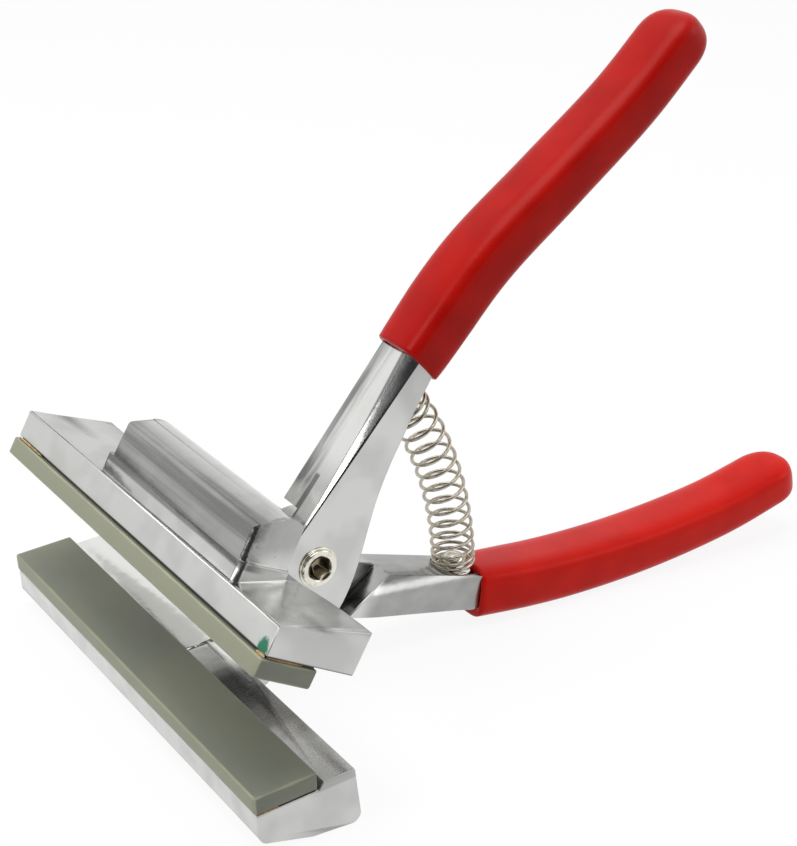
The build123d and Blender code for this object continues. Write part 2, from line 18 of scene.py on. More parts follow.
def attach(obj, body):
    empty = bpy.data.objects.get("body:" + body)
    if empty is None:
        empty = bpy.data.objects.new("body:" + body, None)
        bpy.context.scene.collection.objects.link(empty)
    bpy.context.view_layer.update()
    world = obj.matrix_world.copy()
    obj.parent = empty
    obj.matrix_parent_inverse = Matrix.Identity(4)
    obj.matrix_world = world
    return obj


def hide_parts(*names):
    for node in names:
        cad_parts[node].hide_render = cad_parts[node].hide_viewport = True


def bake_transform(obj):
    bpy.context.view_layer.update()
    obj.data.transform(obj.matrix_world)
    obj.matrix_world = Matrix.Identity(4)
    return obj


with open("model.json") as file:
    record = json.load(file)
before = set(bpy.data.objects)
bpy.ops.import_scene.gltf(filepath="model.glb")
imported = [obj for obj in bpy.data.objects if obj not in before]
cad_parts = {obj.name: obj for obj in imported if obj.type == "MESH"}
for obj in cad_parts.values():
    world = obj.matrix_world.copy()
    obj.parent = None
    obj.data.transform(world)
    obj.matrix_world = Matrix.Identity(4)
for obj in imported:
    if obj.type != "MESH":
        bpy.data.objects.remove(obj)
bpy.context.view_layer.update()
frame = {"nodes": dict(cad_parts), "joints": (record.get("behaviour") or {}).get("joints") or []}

# %% [markdown]
# ## One ruler for every piece
# All sizes here are millimetres, and one function turns a point of a lever's side view into the
# shared frame. Both levers are drawn from the pivot, each in its own tilted view, so that a piece
# lands on its lever without fitting.

# %% The ruler
MM = 0.001
HINGE = frame["joints"][0]
PIVOT = Vector(HINGE["pos_m"])
STANCE_TILT = 1.0
FACE_TILT = 4.3
JAW_OPENING = 33.0
LOWER_LEVER, UPPER_LEVER = "lower_jaw", "upper_jaw"
UPPER_TILT = FACE_TILT - JAW_OPENING
HALF_THICKNESS = 6.3


def directions(tilt):
    """The two directions of a lever's side view: along it, and up it."""
    lean = radians(STANCE_TILT + tilt)
    return Vector((cos(lean), 0, sin(lean))), Vector((-sin(lean), 0, cos(lean)))


def lever_point(u, v, y=0.0, tilt=0.0):
    """A point given in millimetres from the pivot in a lever's side view, in the shared frame."""
    along, upward = directions(tilt)
    return PIVOT + (along * u + upward * v + Vector((0, y, 0))) * MM


def polar(reach, lean):
    return reach * cos(radians(lean)), reach * sin(radians(lean))


# %% [markdown]
# ## The camera
# The photograph looks down on the near side from the front left. Its yaw and elevation were found
# from the jaws, which are a known 120 mm wide, so the camera is placed from the pivot and turned
# by two angles, then leaned by the photo's own tilt and the tool's stance.

# %% The camera
PHOTO_WIDTH, PHOTO_HEIGHT = 797, 846
FOCAL_PIXELS = 1826.0
PHOTO_LEAN = 1.2
VIEW_YAW, VIEW_ELEVATION, VIEW_LEAN = radians(33.22), radians(24.44), radians(PHOTO_LEAN + STANCE_TILT)
CAMERA_FROM_PIVOT = Vector((-184.8, -322.0, 202.1)) * MM
SENSOR = 36.0


def place_camera():
    """Makes the camera at the photograph's viewpoint."""
    a, e = VIEW_YAW, VIEW_ELEVATION
    right = Vector((cos(a), -sin(a), 0))
    ahead = Vector((sin(a) * cos(e), cos(a) * cos(e), -sin(e)))
    upward = right.cross(ahead)
    lean = Matrix.Rotation(-VIEW_LEAN, 3, "Y")
    turn = Matrix((lean @ right, lean @ upward, -(lean @ ahead))).transposed()
    data = bpy.data.cameras.new("photo_camera")
    data.sensor_width = SENSOR
    data.lens = FOCAL_PIXELS * SENSOR / max(PHOTO_WIDTH, PHOTO_HEIGHT)
    data.clip_start, data.clip_end = 0.01, 20.0
    camera = bpy.data.objects.new("photo_camera", data)
    camera.matrix_world = Matrix.Translation(PIVOT + lean @ CAMERA_FROM_PIVOT) @ turn.to_4x4()
    bpy.context.scene.collection.objects.link(camera)
    bpy.context.scene.camera = camera
    return camera


camera = place_camera()
print("camera at", [round(x, 3) for x in camera.location], "lens", round(camera.data.lens, 2))

# %% [markdown]
# ## Node trees written as sums
# A finish is a formula: a little noise times a scale plus a base. Wiring it by hand hides the
# formula in a list of links. This small class wraps a socket and overloads the operators, so that
# `1 - mask * 0.5` adds its Math nodes by itself. It serves shaders and Geometry Nodes alike.


# %% Sockets that can be added and multiplied
class Signal:
    """An output socket that can be used in a Python sum."""

    def __init__(self, graph, socket):
        self.graph, self.socket = graph, socket

    def out(self, name):
        """Another output of the node that made this one."""
        return Signal(self.graph, self.socket.node.outputs[name])

    def maths(self, operation, *others):
        inputs = dict(enumerate((self,) + others))
        return self.graph.node("ShaderNodeMath", {"operation": operation}, inputs)

    def __add__(self, other):
        return self.maths("ADD", other)

    def __mul__(self, other):
        return self.maths("MULTIPLY", other)

    def __sub__(self, other):
        return self.maths("SUBTRACT", other)

    def __truediv__(self, other):
        return self.maths("DIVIDE", other)

    def __pow__(self, other):
        return self.maths("POWER", other)

    def __rsub__(self, other):
        return self.graph.node("ShaderNodeMath", {"operation": "SUBTRACT"}, {0: other, 1: self})

    __radd__, __rmul__ = __add__, __mul__

    def clipped(self):
        """The signal kept between 0 and 1."""
        return self.graph.node("ShaderNodeClamp", {}, {"Value": self})

    def rising(self, low, high):
        """0 below low, 1 above high, and a smooth rise between."""
        ranges = {"Value": self, "From Min": low, "From Max": high}
        return self.graph.node("ShaderNodeMapRange", {"interpolation_type": "SMOOTHSTEP"}, ranges)


class Graph:
    """A node tree whose nodes all come from one method."""

    def __init__(self, tree):
        self.tree = tree
        tree.nodes.clear()

    def node(self, kind, settings={}, inputs={}):
        """Adds a node: its settings first, then the values or links of its sockets."""
        made = self.tree.nodes.new(kind)
        for name, value in settings.items():
            if name == "stops":
                for element, (place, colour) in zip(made.color_ramp.elements, value):
                    element.position, element.color = place, (*colour, 1)
            else:
                setattr(made, name, value)
        for name, value in inputs.items():
            if isinstance(value, Signal):
                self.tree.links.new(value.socket, made.inputs[name])
            else:
                made.inputs[name].default_value = value
        return Signal(self, made.outputs[0]) if made.outputs else made

    def blend(self, factor, first, second):
        """The first colour where the factor is 0, the second where it is 1."""
        ends = {"Factor": factor, 6: first, 7: second}
        mixed = self.node("ShaderNodeMix", {"data_type": "RGBA"}, ends)
        return Signal(self, mixed.socket.node.outputs[2])

    def vector(self, operation, first, second):
        return self.node("ShaderNodeVectorMath", {"operation": operation}, {0: first, 1: second})


# %% [markdown]
# ## Where a finish is measured
# Every finish reads Object coordinates, which are metres in the shared frame, because a finished
# piece's object sits at the origin. They move with the piece when the jaws close. A Mapping node
# turns them into millimetres from a chosen point, along a chosen tilt.


# %% Millimetre coordinates and noise
def millimetres(graph, centre=Vector((0, 0, 0)), tilt=-STANCE_TILT):
    """Object coordinates in millimetres from a centre, tilted as a lever's side view is."""
    plain = graph.node("ShaderNodeTexCoord").out("Object")
    moved = graph.vector("SUBTRACT", plain, tuple(centre))
    turned = graph.node("ShaderNodeVectorRotate", {"rotation_type": "Y_AXIS"},
                        {"Vector": moved, "Angle": radians(STANCE_TILT + tilt)})
    return graph.node("ShaderNodeVectorMath", {"operation": "SCALE"}, {0: turned, "Scale": 1 / MM})


def axes(graph, place):
    """The three coordinates of a place."""
    parts = graph.node("ShaderNodeSeparateXYZ", {}, {0: place})
    return [parts.out(axis) for axis in "XYZ"]


def speckle(graph, place, scale, detail=2.0, stretch=(1, 1, 1)):
    """Smooth noise between 0 and 1, with a scale in waves per millimetre."""
    stretched = graph.vector("MULTIPLY", place, stretch)
    return graph.node("ShaderNodeTexNoise", {}, {"Vector": stretched, "Scale": scale, "Detail": detail})


def finish_material(name):
    """A new material with an empty node tree, and the graph to write it with."""
    material = bpy.data.materials.new(name)
    material.use_nodes = True
    graph = Graph(material.node_tree)
    return material, graph


def complete(graph, **sockets):
    """The closing nodes of a finish: one Principled shader to the output."""
    names = {}
    for name, value in sockets.items():
        names[name.replace("_", " ").title().replace("Ior", "IOR")] = value
    shader = graph.node("ShaderNodeBsdfPrincipled", {}, names)
    graph.node("ShaderNodeOutputMaterial", {}, {"Surface": shader})


# %% [markdown]
# ## Polished cast aluminium
# The levers are sand-smooth castings, buffed to a shine. Buffing leaves broad soft waves that bend
# the reflections, fine scratches that run with the wheel, and a few open pores. The ends of the jaw
# bars are only ground, so they are duller. A dab of green ink marks the near end of the upper jaw.
# A pair of numbers is a ramp in millimetres: the mask rises from 0 at the first to 1 at the second.
# Painted shade, painted reflections and a painted sheen are laid into the colour as well, where each mask
# below says.

# %% The cast finish
CAST_COLOUR = (0.61, 0.61, 0.595, 1)
CAST_STAIN = (0.47, 0.47, 0.46, 1)
SHEEN_COLOUR = (0.82, 0.82, 0.80, 1)
AS_CAST_AND_SHADE = (0.20, 0.20, 0.195, 1)
PORE_COLOUR = (0.20, 0.20, 0.20, 1)
INK_COLOUR = (0.012, 0.19, 0.10, 1)
JAW_HALF_WIDTH = 60.0
LAP_RADIUS = 21.0
SHANK_REACH, SHANK_LEAN = 51.0, 51.5
BEVEL_WIDTH = 2.3
STRIP_LEVEL = -15.3
PLATE_FRONT = -46.7
BOSS_FOOT, BOSS_FRONT, BOSS_HALF_WIDTH = 1.5, -37.6, 31.2
LAP_FACES = (0.7, 1.1)


def lap_shade(u, y, v):
    """Painted shade on the faces that meet at the pivot, which were never buffed."""
    near_pivot = 1 - ((u * u + v * v) ** 0.5).rising(LAP_RADIUS - 1, LAP_RADIUS)
    return near_pivot * (1 - y.maths("ABSOLUTE").rising(*LAP_FACES))


def bar_ends(y):
    """1 on the ground end faces of a jaw bar."""
    return y.maths("ABSOLUTE").rising(JAW_HALF_WIDTH - 0.5, JAW_HALF_WIDTH - 0.1)


# %% Where the lower jaw's lever is worn, and where shade and sheen are painted on it
SHANK_FOOT, CORNER_END, NEAR_SHADE, BRIGHT_END = (12, 16), (14, 26), (34, 52), (1.0, 5.0)
BAND_START, BAND_SPREAD = 15, 0.115
STRIP_FRONT, STRIP_BACK = (-34, -33), (-21, -18)
PATCH_START, PATCH_END, STRIP_SHINE = (-40, -36), (-16, -11), (-14, -8)


def lower_lever_wear_and_shade(graph):
    """Where the lower jaw's lever is dull and inked, and where shade, reflections and sheen are painted on
    it.
    """
    u, y, v = axes(graph, millimetres(graph, PIVOT, 0))
    lean = radians(SHANK_LEAN)
    along, across = u * cos(lean) + v * sin(lean), v * cos(lean) - u * sin(lean)
    wheel = graph.node("ShaderNodeCombineXYZ", {}, {"X": along * 0.035, "Y": across * 0.5, "Z": y * 0.42})
    streaks = speckle(graph, wheel, 1.0, 3.0).rising(0.40, 0.66)
    # The outer face begins where the bevel on the shank's near edge ends. A band of painted dark reflection
    # lies beside it.
    inward = y + HALF_THICKNESS
    outer_face = (inward - along * (BEVEL_WIDTH / SHANK_REACH)).rising(0.1, 0.5) * along.rising(*SHANK_FOOT)
    reflection_band = 1 - (inward - (along - BAND_START) * BAND_SPREAD).rising(-0.3, 0.3)
    reflection_band = reflection_band * inward.rising(0.05, 0.2) * outer_face
    # A painted shade lies on the outer face near the pivot.
    corner = outer_face * (1 - along.rising(*CORNER_END)) * 0.5
    streaks = streaks * outer_face * (0.10 + y.rising(-1.0, 4.5) * 0.75)
    # The near face gets painted shade towards the mouth.
    near_face_shade = (1 - inward.rising(0.02, 0.1)) * along.rising(*NEAR_SHADE) * 0.36
    dark = (streaks + corner).maths("MAXIMUM", lap_shade(u, y, v)).maths("MAXIMUM", near_face_shade)
    dark = dark.maths("MAXIMUM", reflection_band * 0.85)
    # The strip of jaw behind the pad has a painted dark reflection on the near side, and is less dark at
    # its end.
    face_u, _, face_v = axes(graph, millimetres(graph, PIVOT, FACE_TILT))
    behind_pad = face_v.rising(STRIP_LEVEL, STRIP_LEVEL + 0.4) * face_u.rising(*STRIP_FRONT)
    behind_pad = behind_pad * (1 - face_u.rising(*STRIP_BACK))
    started = y.rising(*PATCH_START)
    dark_reflection = started * (1 - y.rising(*PATCH_END)) * 0.8 + (1 - started) * 0.35
    dark = dark.maths("MAXIMUM", behind_pad * dark_reflection)
    # A painted sheen lightens the outer face away from its far side, and the strip beyond the dark
    # reflection.
    painted_sheen = outer_face * (1 - reflection_band) * (1 - y.rising(*BRIGHT_END)) * 0.85
    painted_sheen = painted_sheen + behind_pad * y.rising(*STRIP_SHINE)
    return dark.clipped(), bar_ends(y), painted_sheen.clipped(), 0.0 * y


# %% Where the upper jaw's lever is worn, and where shade and sheen are painted on it
TAIL_BOTTOM, TAIL_FRONT = (-2.6, -2.2), (-23, -22)
UNDERSIDE, UNDERSIDE_BACK, UNDERSIDE_FADE = (-5.4, -5.0), (2, 8), (2, 14)
LOWER_SHANK_FOOT = (17, 22)
SHOULDER_SIDE, SHOULDER_END, SHOULDER_DEPTH, SHOULDER_LEVEL = (-46, -34), (-59.8, -58), (-38, -28), (-6, -4)


def upper_lever_wear_and_shade(graph):
    """Where the upper jaw's lever is dull and inked, and where shade, reflections and sheen are painted on
    it.
    """
    u, y, v = axes(graph, millimetres(graph, PIVOT, UPPER_TILT))
    # Painted dark reflections run in long bands over the front of the boss, and its ends are blotched.
    reflection_lines = graph.node("ShaderNodeCombineXYZ", {}, {"X": u * 0.2, "Y": y * 0.012, "Z": v * 0.42})
    bands = speckle(graph, reflection_lines, 1.0, 3.0).rising(0.38, 0.62)
    boss_front = v.rising(BOSS_FOOT, BOSS_FOOT + 0.8) * (1 - u.rising(BOSS_FRONT, BOSS_FRONT + 5.1))
    boss_front = boss_front * (0.52 + bands * 0.43)
    from_middle = y.maths("ABSOLUTE") + v * 0.18
    boss_ends = from_middle.rising(BOSS_HALF_WIDTH, BOSS_HALF_WIDTH + 0.7) * v.rising(2.5, 4.5)
    boss_ends = boss_ends * (0.30 + speckle(graph, millimetres(graph), 0.16, 3.0) * 0.5)
    # The faces that look down at the lower jaw get painted shade, and the lower shank is dull.
    tail_bottom = (1 - v.rising(*TAIL_BOTTOM)) * u.rising(*TAIL_FRONT)
    underside_shade = (1 - v.rising(*UNDERSIDE)).maths("MAXIMUM", tail_bottom) * (1 - u.rising(*UNDERSIDE_BACK))
    underside_shade = underside_shade * (1 - y.rising(*UNDERSIDE_FADE) * 0.7)
    lower_shank = u.rising(*LOWER_SHANK_FOOT) * (0.48 + speckle(graph, millimetres(graph), 0.22, 3.0) * 0.3)
    dark = boss_front.maths("MAXIMUM", boss_ends).maths("MAXIMUM", underside_shade).maths("MAXIMUM", lower_shank)
    # The near shoulder of the plate gets painted shade, and its ground front gets a faint painted sheen and
    # carries the ink.
    shoulder_shade = (1 - y.rising(*SHOULDER_SIDE)) * y.rising(*SHOULDER_END)
    shoulder_shade = shoulder_shade * u.rising(*SHOULDER_DEPTH) * v.rising(*SHOULDER_LEVEL)
    shoulder_shade = shoulder_shade * (0.25 + speckle(graph, millimetres(graph), 0.09, 1.0).rising(0.35, 0.65) * 0.4)
    dark = dark.maths("MAXIMUM", lap_shade(u, y, v)).maths("MAXIMUM", shoulder_shade)
    plate_front = 1 - u.rising(PLATE_FRONT + 0.2, PLATE_FRONT + 0.6)
    place = millimetres(graph, INK_SPOT)
    reach = graph.node("ShaderNodeVectorMath", {"operation": "LENGTH"}, {0: place}).out("Value")
    ink = 1 - (reach + speckle(graph, place, 0.9, 3.0) * 1.6).rising(2.0, 3.0)
    return dark.clipped(), bar_ends(y).maths("MAXIMUM", plate_front), plate_front * 0.12, ink


# %% Buffed aluminium
def cast_finish(name, wear_and_shade):
    """Buffed aluminium with waves, scratches and pores, and a rule for where it is worn and where shade,
    reflections and sheen are painted on it.
    """
    material, graph = finish_material(name)
    place = millimetres(graph)
    waves = speckle(graph, place, 0.11, 1.5)
    ripple = speckle(graph, place, 0.45, 2.0)
    scratches = speckle(graph, place, 1.4, 4.0, (0.25, 3.0, 3.0))
    pores = speckle(graph, place, 1.6, 1.0).rising(0.78, 0.81)
    dark, ground, painted_sheen, ink = wear_and_shade(graph)
    colour = graph.blend(waves.rising(0.40, 0.70) * 0.6, CAST_COLOUR, CAST_STAIN)
    # Painted shade, painted dark reflections and dull patches darken the colour here, and the painted sheen
    # lightens it.
    colour = graph.blend(painted_sheen, colour, SHEEN_COLOUR)
    colour = graph.blend(dark, colour, AS_CAST_AND_SHADE)
    colour = graph.blend(pores, colour, PORE_COLOUR)
    colour = graph.blend(ink, colour, INK_COLOUR)
    roughness = 0.12 + scratches * 0.12 + ground * 0.22 + dark * 0.10 + ink * 0.15
    height = waves * 0.6 + ripple * 0.10 + scratches * 0.003 - pores * 0.05
    bump = graph.node("ShaderNodeBump", {}, {"Strength": 0.35, "Distance": MM, "Height": height})
    complete(graph, base_color=colour, metallic=1 - ink, roughness=roughness, normal=bump)
    return material


# %% [markdown]
# ## Rubber, vinyl, adhesive and plated steel
# The pads are grey-green rubber that lets light through where it is thin, so their corners are painted
# paler and yellower, and their front faces are painted lighter as lit. The grips are dipped vinyl: red
# and glossy, with the slow unevenness of a liquid that set while it ran; the lower one is painted a
# little paler as lit, the upper one darker as shaded. The adhesive dried to amber. Pivot and posts are
# nickel, and the spring is a greyer plating.

# %% The other finishes
PAD_THICKNESS, PAD_DEPTH, PAD_REACH, FACE_DROP = 4.2, 14.5, 47.7, 10.2
PAD_HALF = (PAD_DEPTH / 2, JAW_HALF_WIDTH, PAD_THICKNESS / 2)
PAD_COLOUR = (0.200, 0.215, 0.170, 1)
PAD_CLOUD = (0.255, 0.262, 0.196, 1)
PAD_RIM = (0.42, 0.42, 0.28, 1)
PAD_LIT_FRONT = (0.30, 0.31, 0.222, 1)
UPPER_VINYL_SHADED = (0.50, 0.007, 0.004, 1), (0.43, 0.005, 0.003, 1)
LOWER_VINYL_LIT = (0.74, 0.012, 0.006, 1), (0.66, 0.009, 0.005, 1)
GLUE_AMBER = (0.36, 0.20, 0.06, 1)
GLUE_PALE = (0.52, 0.40, 0.20, 1)
GLUE_SHADE = (0.07, 0.06, 0.045, 1)


def rubber_finish(name, centre, tilt):
    """Grey-green rubber, painted paler within a millimetre of each edge of the pad where light shows
    through, and lighter on its front face as painted light.
    """
    material, graph = finish_material(name)
    place = millimetres(graph, centre, tilt)
    parts = axes(graph, place)
    depths = [half - part.maths("ABSOLUTE") for part, half in zip(parts, PAD_HALF)]
    near, far = depths[0].maths("MINIMUM", depths[1]), depths[0].maths("MAXIMUM", depths[1])
    edge = near.maths("MAXIMUM", far.maths("MINIMUM", depths[2]))
    rim = 1 - (edge + speckle(graph, place, 0.12, 3.0) * 0.8).rising(0.52, 0.92)
    # The front face is painted lighter, as lit.
    lit_front = 1 - (parts[0] + PAD_HALF[0]).rising(0.25, 0.6)
    clouds = speckle(graph, place, 0.05, 4.0, (1, 0.5, 1))
    colour = graph.blend(clouds.rising(0.3, 0.7), PAD_COLOUR, PAD_CLOUD)
    colour = graph.blend(lit_front, colour, PAD_LIT_FRONT)
    colour = graph.blend(rim * 0.7, colour, PAD_RIM)
    grain = speckle(graph, place, 5.0, 3.0)
    bump = graph.node("ShaderNodeBump", {}, {"Strength": 0.25, "Distance": 0.1 * MM, "Height": grain})
    complete(graph, base_color=colour, roughness=0.42 + grain * 0.18, normal=bump)
    return material


# %% Vinyl and adhesive
def vinyl_finish(name, shades):
    """Glossy dipped vinyl with slow waves and a trace of dust."""
    material, graph = finish_material(name)
    place = millimetres(graph)
    waves = speckle(graph, place, 0.10, 1.0)
    orange_peel = speckle(graph, place, 1.2, 2.0)
    specks = speckle(graph, place, 3.2, 1.0).rising(0.78, 0.82)
    colour = graph.blend(waves.rising(0.3, 0.7), *shades)
    height = waves * 0.5 + orange_peel * 0.012 + specks * 0.03
    bump = graph.node("ShaderNodeBump", {}, {"Strength": 0.3, "Distance": MM, "Height": height})
    complete(graph, base_color=colour, roughness=0.28 + orange_peel * 0.06, normal=bump,
             specular_ior_level=0.17, specular_tint=(1.0, 0.62, 0.55, 1))
    return material


def glue_finish(name, amber=GLUE_AMBER, pale=GLUE_PALE):
    """Dried adhesive, paler where it is thin."""
    material, graph = finish_material(name)
    place = millimetres(graph)
    lumps = speckle(graph, place, 0.7, 3.0)
    colour = graph.blend(lumps.rising(0.35, 0.7), amber, pale)
    bump = graph.node("ShaderNodeBump", {}, {"Strength": 0.5, "Distance": 0.3 * MM, "Height": lumps})
    complete(graph, base_color=colour, roughness=0.35 + lumps * 0.15, normal=bump)
    return material


# %% Plated steel
SOCKET_SHADE = (0.26, 0.23, 0.16, 1)


def plated_finish(name, colour, tarnish, dull, well=0.0):
    """Bright plating with faint tarnish, and painted shade inside a well of some radius at the pivot."""
    material, graph = finish_material(name)
    place = millimetres(graph, PIVOT)
    clouds = speckle(graph, place, 0.6, 3.0)
    grain = speckle(graph, place, 6.0, 2.0)
    shade = graph.blend(clouds.rising(0.45, 0.75), colour, tarnish)
    # The inside of the socket gets painted shade.
    if well:
        x, _, z = axes(graph, place)
        inside = 1 - ((x * x + z * z) ** 0.5).rising(well - 0.1, well + 0.1)
        shade = graph.blend(inside, shade, SOCKET_SHADE)
    bump = graph.node("ShaderNodeBump", {}, {"Strength": 0.1, "Distance": 0.05 * MM, "Height": grain})
    complete(graph, base_color=shade, metallic=1.0, roughness=dull + clouds * 0.10, normal=bump)
    return material


# %% [markdown]
# ## The castings
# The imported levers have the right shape, but their edges are as sharp as a drawing, while a cast
# and buffed lever has none sharper than a fraction of a millimetre. Rebuilding a copy on voxels
# rounds everything, and the flats melt too. So the copy's triangles are merged back into whole
# flats first, and then the real edges are rolled over. An edge that is too short, or that meets
# another at a narrow angle, would fold over itself, so it stays sharp. Hardened normals keep the
# flats flat. The two flats that meet at the pivot are drawn apart a little, so that they can turn.

# %% Soften the castings
SAME_POINT = 0.002 * MM
FLAT_WITHIN = radians(1.5)
SHARP_FROM = radians(28)
EDGE_ROLL = 0.35 * MM
LONG_EDGE = 1.6 * MM
NARROW = radians(40)
EDGE_STEPS = 3
LAP_PLANE, LAP_PLAY = 0.1 * MM, 0.02 * MM


def plain_mesh(obj, material):
    """Applies an object's modifiers to its mesh, removes them and sets its material."""
    graph = bpy.context.evaluated_depsgraph_get()
    baked = bpy.data.meshes.new_from_object(obj.evaluated_get(graph))
    obj.modifiers.clear()
    obj.data = baked
    baked.materials.clear()
    baked.materials.append(material)
    baked.polygons.foreach_set("use_smooth", [True] * len(baked.polygons))
    return obj


def add_object(name, mesh, material):
    """Links a mesh under a name, smooth all over, with one material."""
    obj = bpy.data.objects.new(name, mesh)
    bpy.context.scene.collection.objects.link(obj)
    mesh.materials.clear()
    mesh.materials.append(material)
    mesh.polygons.foreach_set("use_smooth", [True] * len(mesh.polygons))
    return obj


# %% Roll the edges of a casting
def choose_edges(work):
    """Marks every real edge sharp, but weights the long, uncrowded ones for rolling instead."""
    weight = work.edges.layers.float.new("bevel_weight_edge")
    real = [e for e in work.edges if e.is_manifold and e.calc_face_angle() > SHARP_FROM]
    rolled = {e for e in real if e.calc_length() > LONG_EDGE}
    crowded = set()
    for vertex in work.verts:
        ways = {e: e.other_vert(vertex).co - vertex.co for e in vertex.link_edges if e in rolled}
        for edge, way in ways.items():
            if any(way.angle(other) < NARROW for e, other in ways.items() if e != edge):
                crowded.add(edge)
    rolled -= crowded
    for edge in real:
        edge.smooth = edge in rolled
        edge[weight] = float(edge in rolled)


def soft_casting(node, name, side, material):
    """A copy of a packed casting with its sharp edges rolled over."""
    mesh = frame["nodes"][node].data.copy()
    work = bmesh.new()
    work.from_mesh(mesh)
    bmesh.ops.remove_doubles(work, verts=work.verts, dist=SAME_POINT)
    bmesh.ops.dissolve_limit(work, angle_limit=FLAT_WITHIN, verts=work.verts, edges=work.edges)
    for vertex in work.verts:
        if abs(vertex.co.y - LAP_PLANE) < LAP_PLAY:
            vertex.co.y += side * LAP_PLAY
    choose_edges(work)
    work.to_mesh(mesh)
    work.free()
    obj = add_object(name, mesh, material)
    roll = obj.modifiers.new("rolled_edges", "BEVEL")
    roll.width, roll.segments = EDGE_ROLL, EDGE_STEPS
    roll.limit_method = "WEIGHT"
    roll.use_clamp_overlap, roll.loop_slide = False, False
    roll.miter_outer, roll.harden_normals = "MITER_ARC", True
    plain_mesh(obj, material)
    print(name, "has", len(obj.data.polygons), "faces")
    return obj


# %% Both castings
INK_SPOT = lever_point(PLATE_FRONT, -4.2, -57.8, UPPER_TILT)
for body, node, name, side, wear_and_shade in (
    (LOWER_LEVER, "lower_jaw_lever", "lower_lever_casting", -1, lower_lever_wear_and_shade),
    (UPPER_LEVER, "upper_jaw_lever", "upper_lever_casting", 1, upper_lever_wear_and_shade),
):
    casting = soft_casting(node, name, side, cast_finish(name + "_finish", wear_and_shade))
    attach(casting, body)
    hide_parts(node)

# %% [markdown]
# ## Rings of points
# Most of the other pieces are skins over rings: a grip is a row of rounded sections along its
# curved handle, and a turned post is a row of circles. One function joins rings into a closed
# mesh, with a point at each end where the skin closes.

# %% Skin over rings
def skin(name, rings, first, last, material):
    """A closed mesh over rings of equal length, with a point that closes each end."""
    count = len(rings[0])
    points = [first] + [p for ring in rings for p in ring] + [last]
    faces = [(0, 1 + (i + 1) % count, 1 + i) for i in range(count)]
    for r in range(len(rings) - 1):
        base = 1 + r * count
        for i in range(count):
            j = (i + 1) % count
            faces.append((base + i, base + j, base + count + j, base + count + i))
    tail = 1 + (len(rings) - 1) * count
    faces += [(len(points) - 1, tail + i, tail + (i + 1) % count) for i in range(count)]
    mesh = bpy.data.meshes.new(name)
    mesh.from_pydata([tuple(p) for p in points], [], faces)
    work = bmesh.new()
    work.from_mesh(mesh)
    bmesh.ops.recalc_face_normals(work, faces=work.faces)
    work.to_mesh(mesh)
    work.free()
    return add_object(name, mesh, material)


# %% [markdown]
# ## The dipped grips
# Each handle bar was dipped in liquid vinyl, which drew itself into a soft-edged box with a round
# nose and a thick rim at the mouth. A box with bevels looks machined, so the grip is a skin over
# superellipse sections: nearly flat sides, broad corners, swelling behind the mouth, and a nose
# that closes on an elliptic curve. The upper mouth is slanted, as it left the tank, and each lip
# turns in. A handle's bows are its distances in millimetres from a straight line, station by station.

# %% The grips
HANDLE_STATIONS = (0.0, 0.25, 0.5, 0.75)
UPPER_HANDLE = {
    "tilt": 0.0, "mouth": (0.555 * SHANK_REACH, 0.850 * SHANK_REACH), "length": 104.4, "lean": 42.6,
    "bows": (0.7, 3.1364, 1.0692, -0.9916, -0.4),
    "halves": (6.8, 6.4, 5.9), "mouth_half": 6.4, "slant": 0.10, "nose": (8.6, 2.4, 2.5),
}
LOWER_HANDLE = {
    "tilt": UPPER_TILT, "mouth": (0.987 * SHANK_REACH, 0.082 * SHANK_REACH), "length": 107.2,
    "lean": 31.7,
    "bows": (-0.6, -4.25, -5.5, -4.25, -0.7),
    "halves": (6.6, 6.2, 5.3), "mouth_half": 6.6, "slant": 0.0, "nose": (8.0, 5.0, 2.3),
}
GRIP_HALF_BREADTH = 8.4
MOUTH_HALF_BREADTH = 7.6
SWELL_RUN = 14.0
GRIP_ROUNDNESS, NOSE_SOFTENING = 3.8, 0.8
PATH_STEPS, NEARBY = 400, 1.5
RING_POINTS = 64
GRIP_RINGS = 96
NOSE_RINGS = 20
LIP_WALL = (1.9, 1.32)
LIP_DEPTH = 0.2
LIP_ROUND = ((LIP_DEPTH, 1.0), (0.15, 1.0), (0.03, 0.75), (0.0, 0.45), (0.06, 0.18), (0.30, 0.0))


# %% The path of a grip
def through(points, share):
    """A point of a smooth curve through given points, at a share of its way."""
    spans = len(points) - 1
    i = min(int(share * spans), spans - 1)
    t = share * spans - i
    a, b, c, d = (np.array(points[min(max(k, 0), spans)]) for k in (i - 1, i, i + 1, i + 2))
    if i == 0:
        a = 2 * b - c
    if i == spans - 1:
        d = 2 * c - b
    curve, twist = 2 * a - 5 * b + 4 * c - d, 3 * b - a - 3 * c + d
    return 0.5 * (2 * b + (c - a) * t + curve * t ** 2 + twist * t ** 3)


def grip_path(handle):
    """Points along the middle of a grip from mouth to nose, and their distances from the mouth."""
    length, nose = handle["length"], handle["halves"][2]
    c, s = cos(radians(handle["lean"])), sin(radians(handle["lean"]))
    x, y = handle["mouth"]
    centres = []
    for share, bow in zip(HANDLE_STATIONS + (1 - nose / length,), handle["bows"]):
        centres.append((x + share * length * c - bow * s, y + share * length * s + bow * c))
    path = [through(centres, k / PATH_STEPS) for k in range(PATH_STEPS + 1)]
    steps = np.cumsum([0] + [hypot(*(q - p)) for p, q in zip(path, path[1:])])
    onward = path[-1] - path[-2]
    path.append(path[-1] + onward / hypot(*onward) * nose)
    return np.array(path), np.append(steps, steps[-1] + nose)


